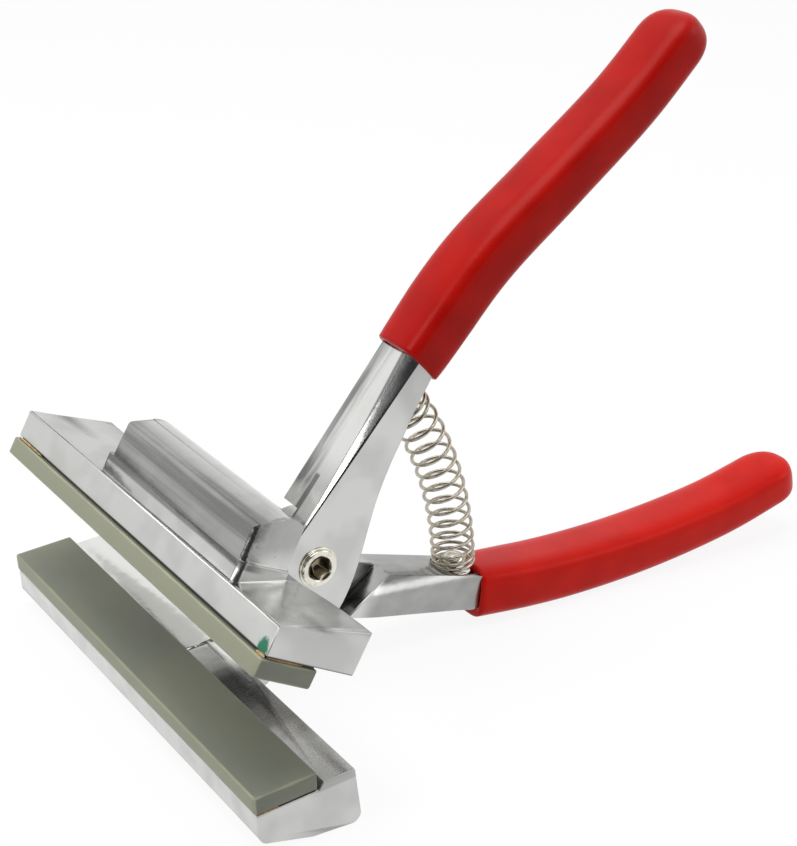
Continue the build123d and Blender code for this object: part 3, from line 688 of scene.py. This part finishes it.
# %% The section of a grip
def superellipse(angle, half_up, half_across, power):
    """A point of a rounded box outline, up and across, at an angle."""
    c, s = cos(angle), sin(angle)
    up = half_up * abs(c) ** (2 / power) * (1 if c >= 0 else -1)
    across = half_across * abs(s) ** (2 / power) * (1 if s >= 0 else -1)
    return up, across


def half_height_at(station, halves):
    """Half the height of a grip at a share of its length, from its mouth, middle and tip."""
    mouth, middle, tip = halves
    return mouth + (tip - mouth) * station + (2 * middle - mouth - tip) * 2 * station * (1 - station)


# %% Skin over a grip
def dipped_grip(name, handle, material):
    """A dipped grip: lip, swelling behind the mouth, long body and round nose."""
    path, steps = grip_path(handle)
    nose_run, up_power, across_power = handle["nose"]
    total = steps[-1]
    body = [total * k / GRIP_RINGS for k in range(GRIP_RINGS)]
    body = [distance for distance in body if LIP_DEPTH < distance < total - nose_run]
    nose = [total - nose_run + nose_run * sin(pi / 2 * k / NOSE_RINGS) for k in range(NOSE_RINGS)]

    def middle(distance):
        return np.array([np.interp(distance, steps, path[:, k]) for k in (0, 1)])

    def ring(distance, inset, close_up, close_across, slant, power=GRIP_ROUNDNESS):
        at = middle(distance)
        way = middle(distance + NEARBY) - middle(max(distance - NEARBY, 0))
        run, rise = way / hypot(*way)
        settle = 1 - min(distance / SWELL_RUN, 1) ** 0.5
        up_half = half_height_at(min(distance / total, 1), handle["halves"])
        up_half += (handle["mouth_half"] - handle["halves"][0]) * settle
        across_half = GRIP_HALF_BREADTH + (MOUTH_HALF_BREADTH - GRIP_HALF_BREADTH) * settle
        points = []
        for i in range(RING_POINTS):
            up, across = superellipse(2 * pi * i / RING_POINTS, (up_half - LIP_WALL[0] * inset) * close_up,
                                      (across_half - LIP_WALL[1] * inset) * close_across, power)
            back = slant * (up - up_half)
            x = at[0] - rise * up + run * back
            y = at[1] + run * up + rise * back
            points.append(lever_point(x, y, across, handle["tilt"]))
        return points

    rings = []
    slant = handle["slant"]
    for depth, inset in LIP_ROUND:
        rings.append(ring(depth, inset, 1, 1, slant))
    for distance in body:
        fade = max(1 - distance / SWELL_RUN, 0)
        rings.append(ring(distance, 0, 1, 1, slant * fade))
    for distance in nose:
        t = (distance - (total - nose_run)) / nose_run
        close_up = (1 - t ** up_power) ** (1 / up_power)
        close_across = (1 - t ** across_power) ** (1 / across_power)
        rings.append(ring(distance, 0, close_up, close_across, 0, GRIP_ROUNDNESS - NOSE_SOFTENING * t))
    mouth_mid = sum(rings[0], Vector()) / RING_POINTS
    tip = lever_point(path[-1][0], path[-1][1], 0, handle["tilt"])
    print(name, "has", len(rings), "rings over", round(float(total), 1), "mm")
    return skin(name, rings, mouth_mid, tip, material)


# %% Both grips
# The upper grip gets a darker red as painted shade, and the lower a paler red as painted light.
upper_grip = dipped_grip("upper_grip_dip", UPPER_HANDLE, vinyl_finish("vinyl_upper", UPPER_VINYL_SHADED))
lower_grip = dipped_grip("lower_grip_dip", LOWER_HANDLE, vinyl_finish("vinyl_lower", LOWER_VINYL_LIT))
for grip, body, node in (
    (upper_grip, LOWER_LEVER, "upper_handle_grip"),
    (lower_grip, UPPER_LEVER, "lower_handle_grip"),
):
    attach(grip, body)
    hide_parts(node)

# %% [markdown]
# ## The rubber pads
# Each pad is a strip cut from sheet rubber, so its long edges wander by a tenth of a millimetre and
# its corners are barely broken. The section is swept along the jaw in many short steps, and each
# step is nudged by a smooth wave.

# %% The pads
PAD_STEPS = 80
PAD_CORNER = 0.45
CORNER_STEPS = 4
EDGE_WANDER, QUICK_WAVE, SLOW_WAVE = 0.09, 0.21, 0.067
END_ROUND = ((0.0, 1.0), (0.1, 0.6), (0.45, 0.0))


def rounded_section(half_deep, half_thick, corner):
    """The outline of a strip's section, with broken corners."""
    points = []
    for quadrant, (sx, sz) in enumerate(((1, 1), (-1, 1), (-1, -1), (1, -1))):
        for k in range(CORNER_STEPS + 1):
            angle = (quadrant + k / CORNER_STEPS) * pi / 2
            points.append((sx * (half_deep - corner) + corner * cos(angle),
                           sz * (half_thick - corner) + corner * sin(angle)))
    return points


def rubber_pad(name, middle_drop, tilt, material, phase):
    """A cut strip of rubber under or over a jaw face."""
    middle_reach = -(PAD_REACH - PAD_DEPTH / 2)
    ends = [(-1 + depth / JAW_HALF_WIDTH, pull * PAD_CORNER) for depth, pull in END_ROUND]
    inner = [(-1 + 2 * k / PAD_STEPS, 0) for k in range(1, PAD_STEPS)]
    rings = []
    for share, pull in ends + inner + [(-place, pull) for place, pull in reversed(ends)]:
        y = share * JAW_HALF_WIDTH
        wave = EDGE_WANDER * sin(y * QUICK_WAVE + phase) * sin(y * SLOW_WAVE + 2 * phase)
        ring = []
        for u, v in rounded_section(PAD_HALF[0] - pull, PAD_HALF[2] - pull, PAD_CORNER):
            drawn_in = abs(wave) * (1 if u > 0 else -1)
            ring.append(lever_point(middle_reach + u - drawn_in, middle_drop + v, y, tilt))
        rings.append(ring)
    ends_mid = [sum(ring, Vector()) / len(ring) for ring in (rings[0], rings[-1])]
    return skin(name, rings, *ends_mid, material)


# %% Both pads
LOWER_PAD_MIDDLE, UPPER_PAD_MIDDLE = -FACE_DROP - PAD_THICKNESS / 2, PAD_THICKNESS / 2 - FACE_DROP
pads = []
for name, node, body, middle, tilt, phase in (
    ("lower_rubber_strip", "lower_pad", LOWER_LEVER, LOWER_PAD_MIDDLE, FACE_TILT, 0.4),
    ("upper_rubber_strip", "upper_pad", UPPER_LEVER, UPPER_PAD_MIDDLE, UPPER_TILT, 1.7),
):
    centre = lever_point(-(PAD_REACH - PAD_DEPTH / 2), middle, 0, tilt)
    pad = rubber_pad(name, middle, tilt, rubber_finish(name + "_rubber", centre, tilt), phase)
    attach(pad, body)
    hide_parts(node)
    pads.append(pad)
print("pads have", [len(pad.data.polygons) for pad in pads], "faces")

# %% [markdown]
# ## Turned pieces
# The washers, the posts and the pivot were turned on a lathe, so each is a row of circles. The
# socket is the one thing that isn't round: its rings are hexagons, and the ring above them blends
# the two with a small countersink, as the punch left it.

# %% Turned pieces and the socket
LATHE_POINTS = 72


def hexagon(angle, across_flats):
    """The distance from the middle of a hexagon to its side, at an angle."""
    turn = (angle + pi / 6) % (pi / 3) - pi / 6
    return across_flats / 2 / cos(turn)


def turned(name, origin, axis, profile, material):
    """A lathe-turned piece: (height, radius) pairs, where a negative radius is a hexagon's width."""
    axis = axis.normalized()
    side = Vector((0, 1, 0)).cross(axis)
    if side.length < 0.1:
        side = Vector((1, 0, 0))
    side.normalize()
    other = axis.cross(side)
    rings = []
    for height, radius in profile:
        ring = []
        for i in range(LATHE_POINTS):
            angle = 2 * pi * i / LATHE_POINTS
            reach = radius if radius >= 0 else hexagon(angle, -radius)
            outward = side * (reach * cos(angle)) + other * (reach * sin(angle))
            ring.append(origin + (axis * height + outward) * MM)
        rings.append(ring)
    first, last = (origin + axis * profile[k][0] * MM for k in (0, -1))
    return skin(name, rings, first, last, material)


def rounded_rim(low, high, radius, corner, steps=5):
    """Profile points of a disc's outer wall whose upper rim is rounded."""
    points = [(low, radius)]
    for k in range(steps + 1):
        turn = pi / 2 * k / steps
        points.append((high - corner + corner * sin(turn), radius - corner + corner * cos(turn)))
    return points


# %% The washers
NEAR, FAR = Vector((0, -1, 0)), Vector((0, 1, 0))
NICKEL, NICKEL_DULL = (0.78, 0.75, 0.67, 1), (0.54, 0.50, 0.42, 1)
NICKEL_ROUGHNESS, SOCKET_WELL = 0.14, 3.0
nickel = plated_finish("nickel_plate", NICKEL, NICKEL_DULL, NICKEL_ROUGHNESS)
socketed_nickel = plated_finish("nickel_socket", NICKEL, NICKEL_DULL, NICKEL_ROUGHNESS, SOCKET_WELL)
WASHER_RADIUS, WASHER_THICKNESS, SLEEVE_RADIUS = 4.95, 0.4, 3.5
HEAD_RADIUS, HEAD_HEIGHT, SOCKET_WIDTH, SOCKET_DEPTH = 4.5, 0.8, 5.0, 3.0
SCREW_RADIUS, SCREW_BITE, SCREW_SOCKET, SCREW_SOCKET_DEPTH = 2.0, 7.0, 2.5, 1.1
FACE_CLEARANCE, SLEEVE_PLAY = 0.05, 0.05
WASHER_ROUND, HEAD_ROUND = 0.18, 0.4


def washer_profile():
    """A washer's section: its hole, its flat and its rounded rim."""
    hole = SLEEVE_RADIUS + SLEEVE_PLAY
    rim = rounded_rim(0, WASHER_THICKNESS, WASHER_RADIUS, WASHER_ROUND)
    return [(0, hole)] + rim + [(WASHER_THICKNESS, hole)]


def ring_mesh(name, origin, axis, profile, material):
    """A turned ring: its profile closes on itself, so it has a hole."""
    obj = turned(name, origin, axis, profile, material)
    work = bmesh.new()
    work.from_mesh(obj.data)
    work.verts.ensure_lookup_table()
    bmesh.ops.delete(work, geom=[work.verts[0], work.verts[-1]], context="VERTS")
    edges = [e for e in work.edges if e.is_boundary]
    bmesh.ops.bridge_loops(work, edges=edges)
    bmesh.ops.recalc_face_normals(work, faces=work.faces)
    work.to_mesh(obj.data)
    work.free()
    return obj


near_side = PIVOT + NEAR * HALF_THICKNESS * MM
far_side = PIVOT + FAR * (HALF_THICKNESS + FACE_CLEARANCE) * MM
near_washer = ring_mesh("near_washer_ring", near_side, NEAR, washer_profile(), nickel)
far_washer = ring_mesh("far_washer_ring", far_side, FAR, washer_profile(), nickel)

# %% The pivot and its screw
SOCKET_RIM, SOCKET_START, SOCKET_TIP = ((0.0, 0.60), (0.12, 0.35)), 0.55, (0.8, 0.6)
SCREW_RIM, SCREW_START, SCREW_TIP = ((0.0, 0.30),), 0.2, (0.2, 0.4)


def socketed_profile(shaft_end, shaft_radius, base, width, depth, rim, start, tip):
    """A shaft, a head with a rounded rim, and a hexagon socket with its own rim and drilled tip."""
    top = base + HEAD_HEIGHT
    profile = [(shaft_end, shaft_radius), (base, shaft_radius)]
    profile += rounded_rim(base, top, HEAD_RADIUS, HEAD_ROUND)
    profile += [(top - down, width / sqrt(3) + wider) for down, wider in rim]
    profile += [(top - start, -width), (top - depth, -width), (top - depth - tip[0], tip[1])]
    return profile


head_base = HALF_THICKNESS + WASHER_THICKNESS
pivot_profile = socketed_profile(-head_base, SLEEVE_RADIUS, head_base, SOCKET_WIDTH, SOCKET_DEPTH,
                                 SOCKET_RIM, SOCKET_START, SOCKET_TIP)
pivot_head = turned("pivot_socket_head", PIVOT, NEAR, pivot_profile, socketed_nickel)
screw_base = head_base + FACE_CLEARANCE
screw_profile = socketed_profile(screw_base - SCREW_BITE, SCREW_RADIUS, screw_base, SCREW_SOCKET,
                                 SCREW_SOCKET_DEPTH, SCREW_RIM, SCREW_START, SCREW_TIP)
pivot_screw = turned("pivot_cap_screw", PIVOT, FAR, screw_profile, nickel)
for piece, node in ((near_washer, "near_washer"), (far_washer, "far_washer"),
                    (pivot_head, "pivot_sleeve"), (pivot_screw, "pivot_screw")):
    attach(piece, LOWER_LEVER)
    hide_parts(node)
print("the heads stand on", round(head_base, 2), "mm near and", round(screw_base, 2), "mm far")

# %% [markdown]
# ## The spring posts
# A turned post is pressed into each shank: a flange for the last coil to sit on, and a bright dome
# that keeps the spring from slipping sideways. Each post's seat is sunk a little into its lever.

# %% The posts
SEAT_RECESS = 0.6
FLANGE_RADIUS, FLANGE_HEIGHT, FLANGE_ROUND = 4.6, 0.9, 0.25
STEM_RADIUS, STEM_DEPTH = 1.9, 4.0
DOME_RADIUS, DOME_HEIGHT, DOME_ROUND, DOME_STEPS = 3.4, 3.8, 2.8, 10
UPPER_POST_PLACE, UPPER_POST_LEAN = polar(42.3, 51.9), -37.0
LOWER_POST_PLACE, LOWER_POST_LEAN = polar(44.7, 9.4 + UPPER_TILT), 109.0 + UPPER_TILT


def post_seat(place, lean):
    """The middle of a post's seat and the way the post stands."""
    along, upward = directions(0)
    way = along * cos(radians(lean)) + upward * sin(radians(lean))
    return lever_point(*place) - way * SEAT_RECESS * MM, way


upper_seat, upper_way = post_seat(UPPER_POST_PLACE, UPPER_POST_LEAN)
lower_seat, lower_way = post_seat(LOWER_POST_PLACE, LOWER_POST_LEAN)
post_profile = (
    [(-STEM_DEPTH, STEM_RADIUS), (0, STEM_RADIUS)]
    + rounded_rim(0, FLANGE_HEIGHT, FLANGE_RADIUS, FLANGE_ROUND)
    + [(FLANGE_HEIGHT, DOME_RADIUS)]
    + rounded_rim(FLANGE_HEIGHT, FLANGE_HEIGHT + DOME_HEIGHT, DOME_RADIUS, DOME_ROUND, DOME_STEPS)[1:]
)
for name, node, body, seat, way in (
    ("upper_post_turned", "upper_spring_post", LOWER_LEVER, upper_seat, upper_way),
    ("lower_post_turned", "lower_spring_post", UPPER_LEVER, lower_seat, lower_way),
):
    post = turned(name, seat, way, post_profile, nickel)
    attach(post, body)
    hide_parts(node)
print("post seats are", round((upper_seat - lower_seat).length / MM, 1), "mm apart")

# %% [markdown]
# ## The return spring
# Fifteen turns of plated wire, wound close at the foot and opening upwards, and bent into an arc by
# the two posts. A Screw modifier winds only straight springs. In Geometry Nodes the rule is written
# once: each point of a line is moved to its place on the bent helix, and a circle is swept along.
# The glue beads further on open and end in the same way, so that much is written as functions.

# %% How a node group opens, ends and runs
def open_group(name, inputs):
    """A Geometry Nodes group with named inputs: its graph, the reader of its inputs, its sockets."""
    tree = bpy.data.node_groups.new(name, "GeometryNodeTree")
    made = Graph(tree)
    sockets = {}
    for label, kind in inputs:
        sockets[label] = tree.interface.new_socket(label, in_out="INPUT", socket_type="NodeSocket" + kind)
    tree.interface.new_socket("Geometry", in_out="OUTPUT", socket_type="NodeSocketGeometry")
    return made, made.node("NodeGroupInput").out, sockets


def end_with_tube(made, value, path, radius, sides, **more):
    """Sweeps a circle along a path, makes it real, gives it its material and sends it out."""
    circle = made.node("GeometryNodeCurvePrimitiveCircle", {}, {"Resolution": sides, "Radius": radius})
    swept = {"Curve": path, "Profile Curve": circle, "Fill Caps": True, **more}
    tube = made.node("GeometryNodeCurveToMesh", {}, swept)
    real = made.node("GeometryNodeRealizeInstances", {}, {"Geometry": tube})
    finished = made.node("GeometryNodeSetMaterial", {}, {"Geometry": real, "Material": value("Material")})
    made.node("NodeGroupOutput", {}, {"Geometry": finished})


def run_group(name, group, settings):
    """A new object that a group makes from its named inputs, kept as a plain mesh."""
    graph, sockets = group
    material = settings["Material"]
    obj = add_object(name, bpy.data.meshes.new(name), material)
    maker = obj.modifiers.new("maker", "NODES")
    maker.node_group = graph.tree
    for label, setting in settings.items():
        maker[sockets[label].identifier] = setting
    return plain_mesh(obj, material)


# %% The spring as a node group
WIRE_RADIUS, COIL_RADIUS, TURNS = 0.45, 5.05, 15
CLOSED_LOW, CLOSED_HIGH, CLOSED_PITCH, GROWTH, BOW = 2.0, 1.0, 1.5, 1.3, 3.4
SEAT_GAP, TOP_GAP = 0.15, 0.5
POINTS_PER_TURN = 32
WIRE_SIDES = 12


def spring_group():
    """Geometry Nodes: a helix wound on an arc, with the pitch opening from its foot."""
    made, value, sockets = open_group("bent_spring", (
        ("Turns", "Float"), ("Wire Radius", "Float"), ("Coil Radius", "Float"), ("Arc Radius", "Float"),
        ("Half Arc", "Float"), ("Closed Pitch", "Float"), ("Closed Low", "Float"), ("Open Turns", "Float"),
        ("Growth", "Float"), ("Arc Centre", "Vector"), ("Outward", "Vector"), ("Across", "Vector"),
        ("Points", "Int"), ("Material", "Material"),
    ))
    line = made.node("GeometryNodeMeshLine", {"mode": "END_POINTS"}, {"Count": value("Points")})
    curve = made.node("GeometryNodeMeshToCurve", {}, {"Mesh": line})
    share = made.node("GeometryNodeInputIndex") / (value("Points") - 1)
    turn = share * value("Turns")
    opened = ((turn - value("Closed Low")) / value("Open Turns")).clipped() ** value("Growth")
    arc_length = value("Arc Radius") * value("Half Arc") * 2
    climb = value("Closed Pitch") * turn + (arc_length - value("Closed Pitch") * value("Turns")) * opened
    angle = climb / value("Arc Radius") - value("Half Arc")
    winding = turn * (2 * pi)
    reach = value("Arc Radius") + value("Coil Radius") * winding.maths("COSINE")
    across = made.node("ShaderNodeCombineXYZ", {}, {"Y": value("Coil Radius") * winding.maths("SINE")})

    def scaled(vector, factor):
        return made.node("ShaderNodeVectorMath", {"operation": "SCALE"}, {0: vector, "Scale": factor})

    radial = made.vector("ADD", scaled(value("Outward"), angle.maths("COSINE")),
                         scaled(value("Across"), angle.maths("SINE")))
    place = made.vector("ADD", made.vector("ADD", value("Arc Centre"), scaled(radial, reach)), across)
    helix = made.node("GeometryNodeSetPosition", {}, {"Geometry": curve, "Position": place})
    end_with_tube(made, value, helix, value("Wire Radius"), WIRE_SIDES)
    return made, sockets


# %% Wind the spring between the posts
seat_stand = FLANGE_HEIGHT + WIRE_RADIUS
foot = lower_seat + lower_way * (seat_stand + SEAT_GAP) * MM
head = upper_seat + upper_way * (seat_stand + TOP_GAP) * MM
chord = head - foot
across_way = chord.normalized()
outward_way = Vector((across_way.z, 0, -across_way.x))
bow = BOW * MM
arc_radius = (chord.length ** 2 / 4 + bow ** 2) / (2 * bow)
arc_centre = foot + chord / 2 - outward_way * (arc_radius - bow)
half_arc = atan2(chord.length / 2, arc_radius - bow)

SPRING_PLATE, SPRING_DULL = (0.50, 0.465, 0.39, 1), (0.32, 0.285, 0.22, 1)
SPRING_ROUGHNESS = 0.16
wire_finish = plated_finish("spring_plate", SPRING_PLATE, SPRING_DULL, SPRING_ROUGHNESS)
spring = run_group("return_spring_wire", spring_group(), {
    "Turns": float(TURNS), "Wire Radius": WIRE_RADIUS * MM, "Coil Radius": COIL_RADIUS * MM,
    "Arc Radius": arc_radius, "Half Arc": half_arc, "Closed Pitch": CLOSED_PITCH * MM,
    "Closed Low": CLOSED_LOW, "Open Turns": TURNS - CLOSED_LOW - CLOSED_HIGH, "Growth": GROWTH,
    "Arc Centre": arc_centre, "Outward": outward_way, "Across": across_way,
    "Points": TURNS * POINTS_PER_TURN + 1, "Material": wire_finish,
})
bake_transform(spring)
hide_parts("return_spring")
print("spring has", len(spring.data.polygons), "faces")

# %% [markdown]
# ## The adhesive
# The bond line under each pad shows only as a shadow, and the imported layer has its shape. What
# catches the eye is the amber bead that was squeezed out at the corners. Each bead is a path along
# the seam with a radius that swells and thins, made in Geometry Nodes from one group.

# %% Glue beads as a node group
BEAD_SIDES = 10
BEAD_STEPS = 40
LUMPS_PER_METRE = 700.0


def bead_group():
    """Geometry Nodes: a lumpy bead along a straight seam, tapering at both ends."""
    made, value, sockets = open_group("glue_bead", (
        ("Start", "Vector"), ("End", "Vector"), ("Radius", "Float"), ("Seed", "Float"),
        ("Material", "Material"),
    ))
    line = made.node("GeometryNodeCurvePrimitiveLine", {}, {"Start": value("Start"), "End": value("End")})
    path = made.node("GeometryNodeResampleCurve", {}, {"Curve": line, "Count": BEAD_STEPS})
    share = made.node("GeometryNodeSplineParameter").out("Factor")
    ends = (share * (1 - share) * 4).clipped() ** 0.5
    place = made.node("GeometryNodeInputPosition")
    lumps = made.node("ShaderNodeTexNoise", {"noise_dimensions": "4D"},
                      {"Vector": place, "W": value("Seed"), "Scale": LUMPS_PER_METRE, "Detail": 2.0})
    size = (0.25 + lumps * 1.3) * ends
    bead = made.node("GeometryNodeSetCurveRadius", {}, {"Curve": path, "Radius": size})
    end_with_tube(made, value, bead, value("Radius"), BEAD_SIDES, Scale=size)
    return made, sockets


# %% Squeeze out the beads
glue = glue_finish("dried_adhesive")
bead_rule = bead_group()
PAD_FRONT = -PAD_REACH
UPPER_SEAM, LOWER_SEAM = PAD_THICKNESS - FACE_DROP + 0.25, -FACE_DROP - PAD_THICKNESS - 0.1
PAD_BACK = -(PAD_REACH - PAD_DEPTH)
UPPER_SIDE = (UPPER_LEVER, UPPER_TILT, UPPER_SEAM)
LOWER_SIDE = (LOWER_LEVER, FACE_TILT, LOWER_SEAM)
BEADS = (
    ("upper_bead_far_corner", UPPER_SIDE, (PLATE_FRONT - 0.1, 59.6), (PLATE_FRONT - 0.1, 46.0), 0.34),
    ("upper_bead_near_corner", UPPER_SIDE, (PLATE_FRONT - 0.1, -56.5), (PLATE_FRONT - 0.1, -59.7), 0.55),
    ("upper_bead_near_end", UPPER_SIDE, (PLATE_FRONT + 0.3, -59.6), (PAD_BACK - 4, -59.6), 0.26),
    ("upper_bead_back", UPPER_SIDE, (PAD_BACK, -50.0), (PAD_BACK, 38.0), 0.34),
    ("lower_bead_near_corner", LOWER_SIDE, (PAD_FRONT + 0.4, -59.6), (PAD_FRONT + 5.5, -59.6), 0.34),
    ("lower_bead_near_back", LOWER_SIDE, (PAD_BACK + 0.1, -59.0), (PAD_BACK + 0.1, -30.0), 0.30),
)
for seed, (name, (body, tilt, seam), start, end, radius) in enumerate(BEADS):
    first, last = (lever_point(u, seam, y, tilt) for u, y in (start, end))
    bead = run_group(name, bead_rule, {
        "Start": first, "End": last, "Radius": radius * MM, "Seed": float(seed), "Material": glue,
    })
    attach(bead, body)
bond_line = glue_finish("adhesive_in_shade", GLUE_SHADE, GLUE_SHADE)
for node in ("lower_pad_glue", "upper_pad_glue"):
    for material_slot in frame["nodes"][node].material_slots:
        material_slot.material = bond_line
print(len(BEADS), "glue beads")

# %% [markdown]
# ## The studio
# The tool was shot on white in a bright tent. Nearly all that the metal mirrors is white, and its
# dark streaks are the room beyond the tent's opening, behind the camera. So the world is a plain
# pale light, and three soft lamps give the forms their shade. A dark card stands behind the camera,
# and a small grey one behind the tool. The metal mirrors both, and the dark one also takes a little
# light from that side.

# %% Floor, world, lamps and cards
FLOOR_SIZE, FLOOR_DROP, FLOOR_GREY, FLOOR_GLOW = 6.0, 0.0002, 0.74, 0.86
WHITE_VIEW, TENT_LIGHT, TENT_MIRRORED = 1.05, 0.50, 0.95


def rectangle(name, width, height, material):
    """A flat rectangle about the middle of its own plane."""
    mesh = bpy.data.meshes.new(name)
    w, h = width / 2, height / 2
    mesh.from_pydata([(-w, -h, 0), (w, -h, 0), (w, h, 0), (-w, h, 0)], [], [(0, 1, 2, 3)])
    mesh.materials.append(material)
    obj = bpy.data.objects.new(name, mesh)
    bpy.context.scene.collection.objects.link(obj)
    return obj


def stage_card(name, centre, width, height, colour):
    """A flat card that faces the pivot, and that only reflections can see."""
    material, graph = finish_material(name)
    glow = graph.node("ShaderNodeEmission", {}, {"Color": (*colour, 1), "Strength": 1.0})
    graph.node("ShaderNodeOutputMaterial", {}, {"Surface": glow})
    card = rectangle(name, width, height, material)
    card.rotation_mode = "QUATERNION"
    card.rotation_quaternion = (PIVOT - centre).to_track_quat("Z", "Y")
    card.location = centre
    card.visible_camera = card.visible_diffuse = card.visible_shadow = card.visible_transmission = False
    return card


def floor_plane():
    """A pale floor that looks white to the camera and in reflections, and keeps a soft shadow."""
    material, graph = finish_material("pale_floor")
    rays = graph.node("ShaderNodeLightPath")
    seen = rays.out("Is Camera Ray").maths("MAXIMUM", rays.out("Is Glossy Ray"))
    matt = graph.node("ShaderNodeBsdfDiffuse", {}, {"Color": (FLOOR_GREY, FLOOR_GREY, FLOOR_GREY, 1)})
    glow = graph.node("ShaderNodeEmission", {}, {"Color": (1, 1, 1, 1), "Strength": WHITE_VIEW})
    mixed = graph.node("ShaderNodeMixShader", {}, {0: seen * FLOOR_GLOW, 1: matt, 2: glow})
    graph.node("ShaderNodeOutputMaterial", {}, {"Surface": mixed})
    floor = rectangle("floor", FLOOR_SIZE, FLOOR_SIZE, material)
    floor.location.z = -FLOOR_DROP


def lamp(name, place, size, power):
    """A soft square lamp that looks at the pivot."""
    data = bpy.data.lights.new(name, "AREA")
    data.shape, data.size, data.energy = "SQUARE", size, power
    light = bpy.data.objects.new(name, data)
    light.rotation_mode = "QUATERNION"
    light.rotation_quaternion = (PIVOT - Vector(place)).to_track_quat("-Z", "Y")
    light.location = place
    bpy.context.scene.collection.objects.link(light)


def pale_world(light_level, mirror_level):
    """A world that is white to the camera, and plain pale light to everything else."""
    world = bpy.data.worlds.new("tent")
    world.use_nodes = True
    bpy.context.scene.world = world
    graph = Graph(world.node_tree)
    rays = graph.node("ShaderNodeLightPath")
    seen = rays.out("Is Camera Ray").maths("MAXIMUM", rays.out("Is Transmission Ray"))
    mirrored = rays.out("Is Glossy Ray")
    strength = light_level + (WHITE_VIEW - light_level) * seen + (mirror_level - light_level) * mirrored
    back = graph.node("ShaderNodeBackground", {}, {"Color": (1, 1, 1, 1), "Strength": strength})
    graph.node("ShaderNodeOutputWorld", {}, {"Surface": back})


# %% Light the tool
LAMPS = (
    ("tent_top", (-0.12, 0.10, 1.15), 0.8, 6.8),
    ("tent_left", (-1.00, -0.05, 0.75), 0.5, 5.0),
    ("tent_right", (0.75, -0.45, 0.50), 0.4, 0.8),
)
ROOM_DARK, WALL_GREY = (0.035, 0.035, 0.04), (0.55, 0.55, 0.53)
pale_world(TENT_LIGHT, TENT_MIRRORED)
floor_plane()
for name, place, size, power in LAMPS:
    lamp(name, place, size, power)


def toward(azimuth, elevation, distance):
    """A place seen from the pivot at an azimuth and an elevation, in degrees."""
    level = cos(radians(elevation))
    way = Vector((level * cos(radians(azimuth)), level * sin(radians(azimuth)), sin(radians(elevation))))
    return PIVOT + way * distance


dark_room = stage_card("dark_room", toward(-141, 24, 1.1), 3.4, 1.5, ROOM_DARK)
dark_room.visible_diffuse = True
stage_card("grey_wall", toward(68, 41, 1.5), 0.55, 0.60, WALL_GREY)

scene = bpy.context.scene
scene.view_settings.view_transform = "Standard"
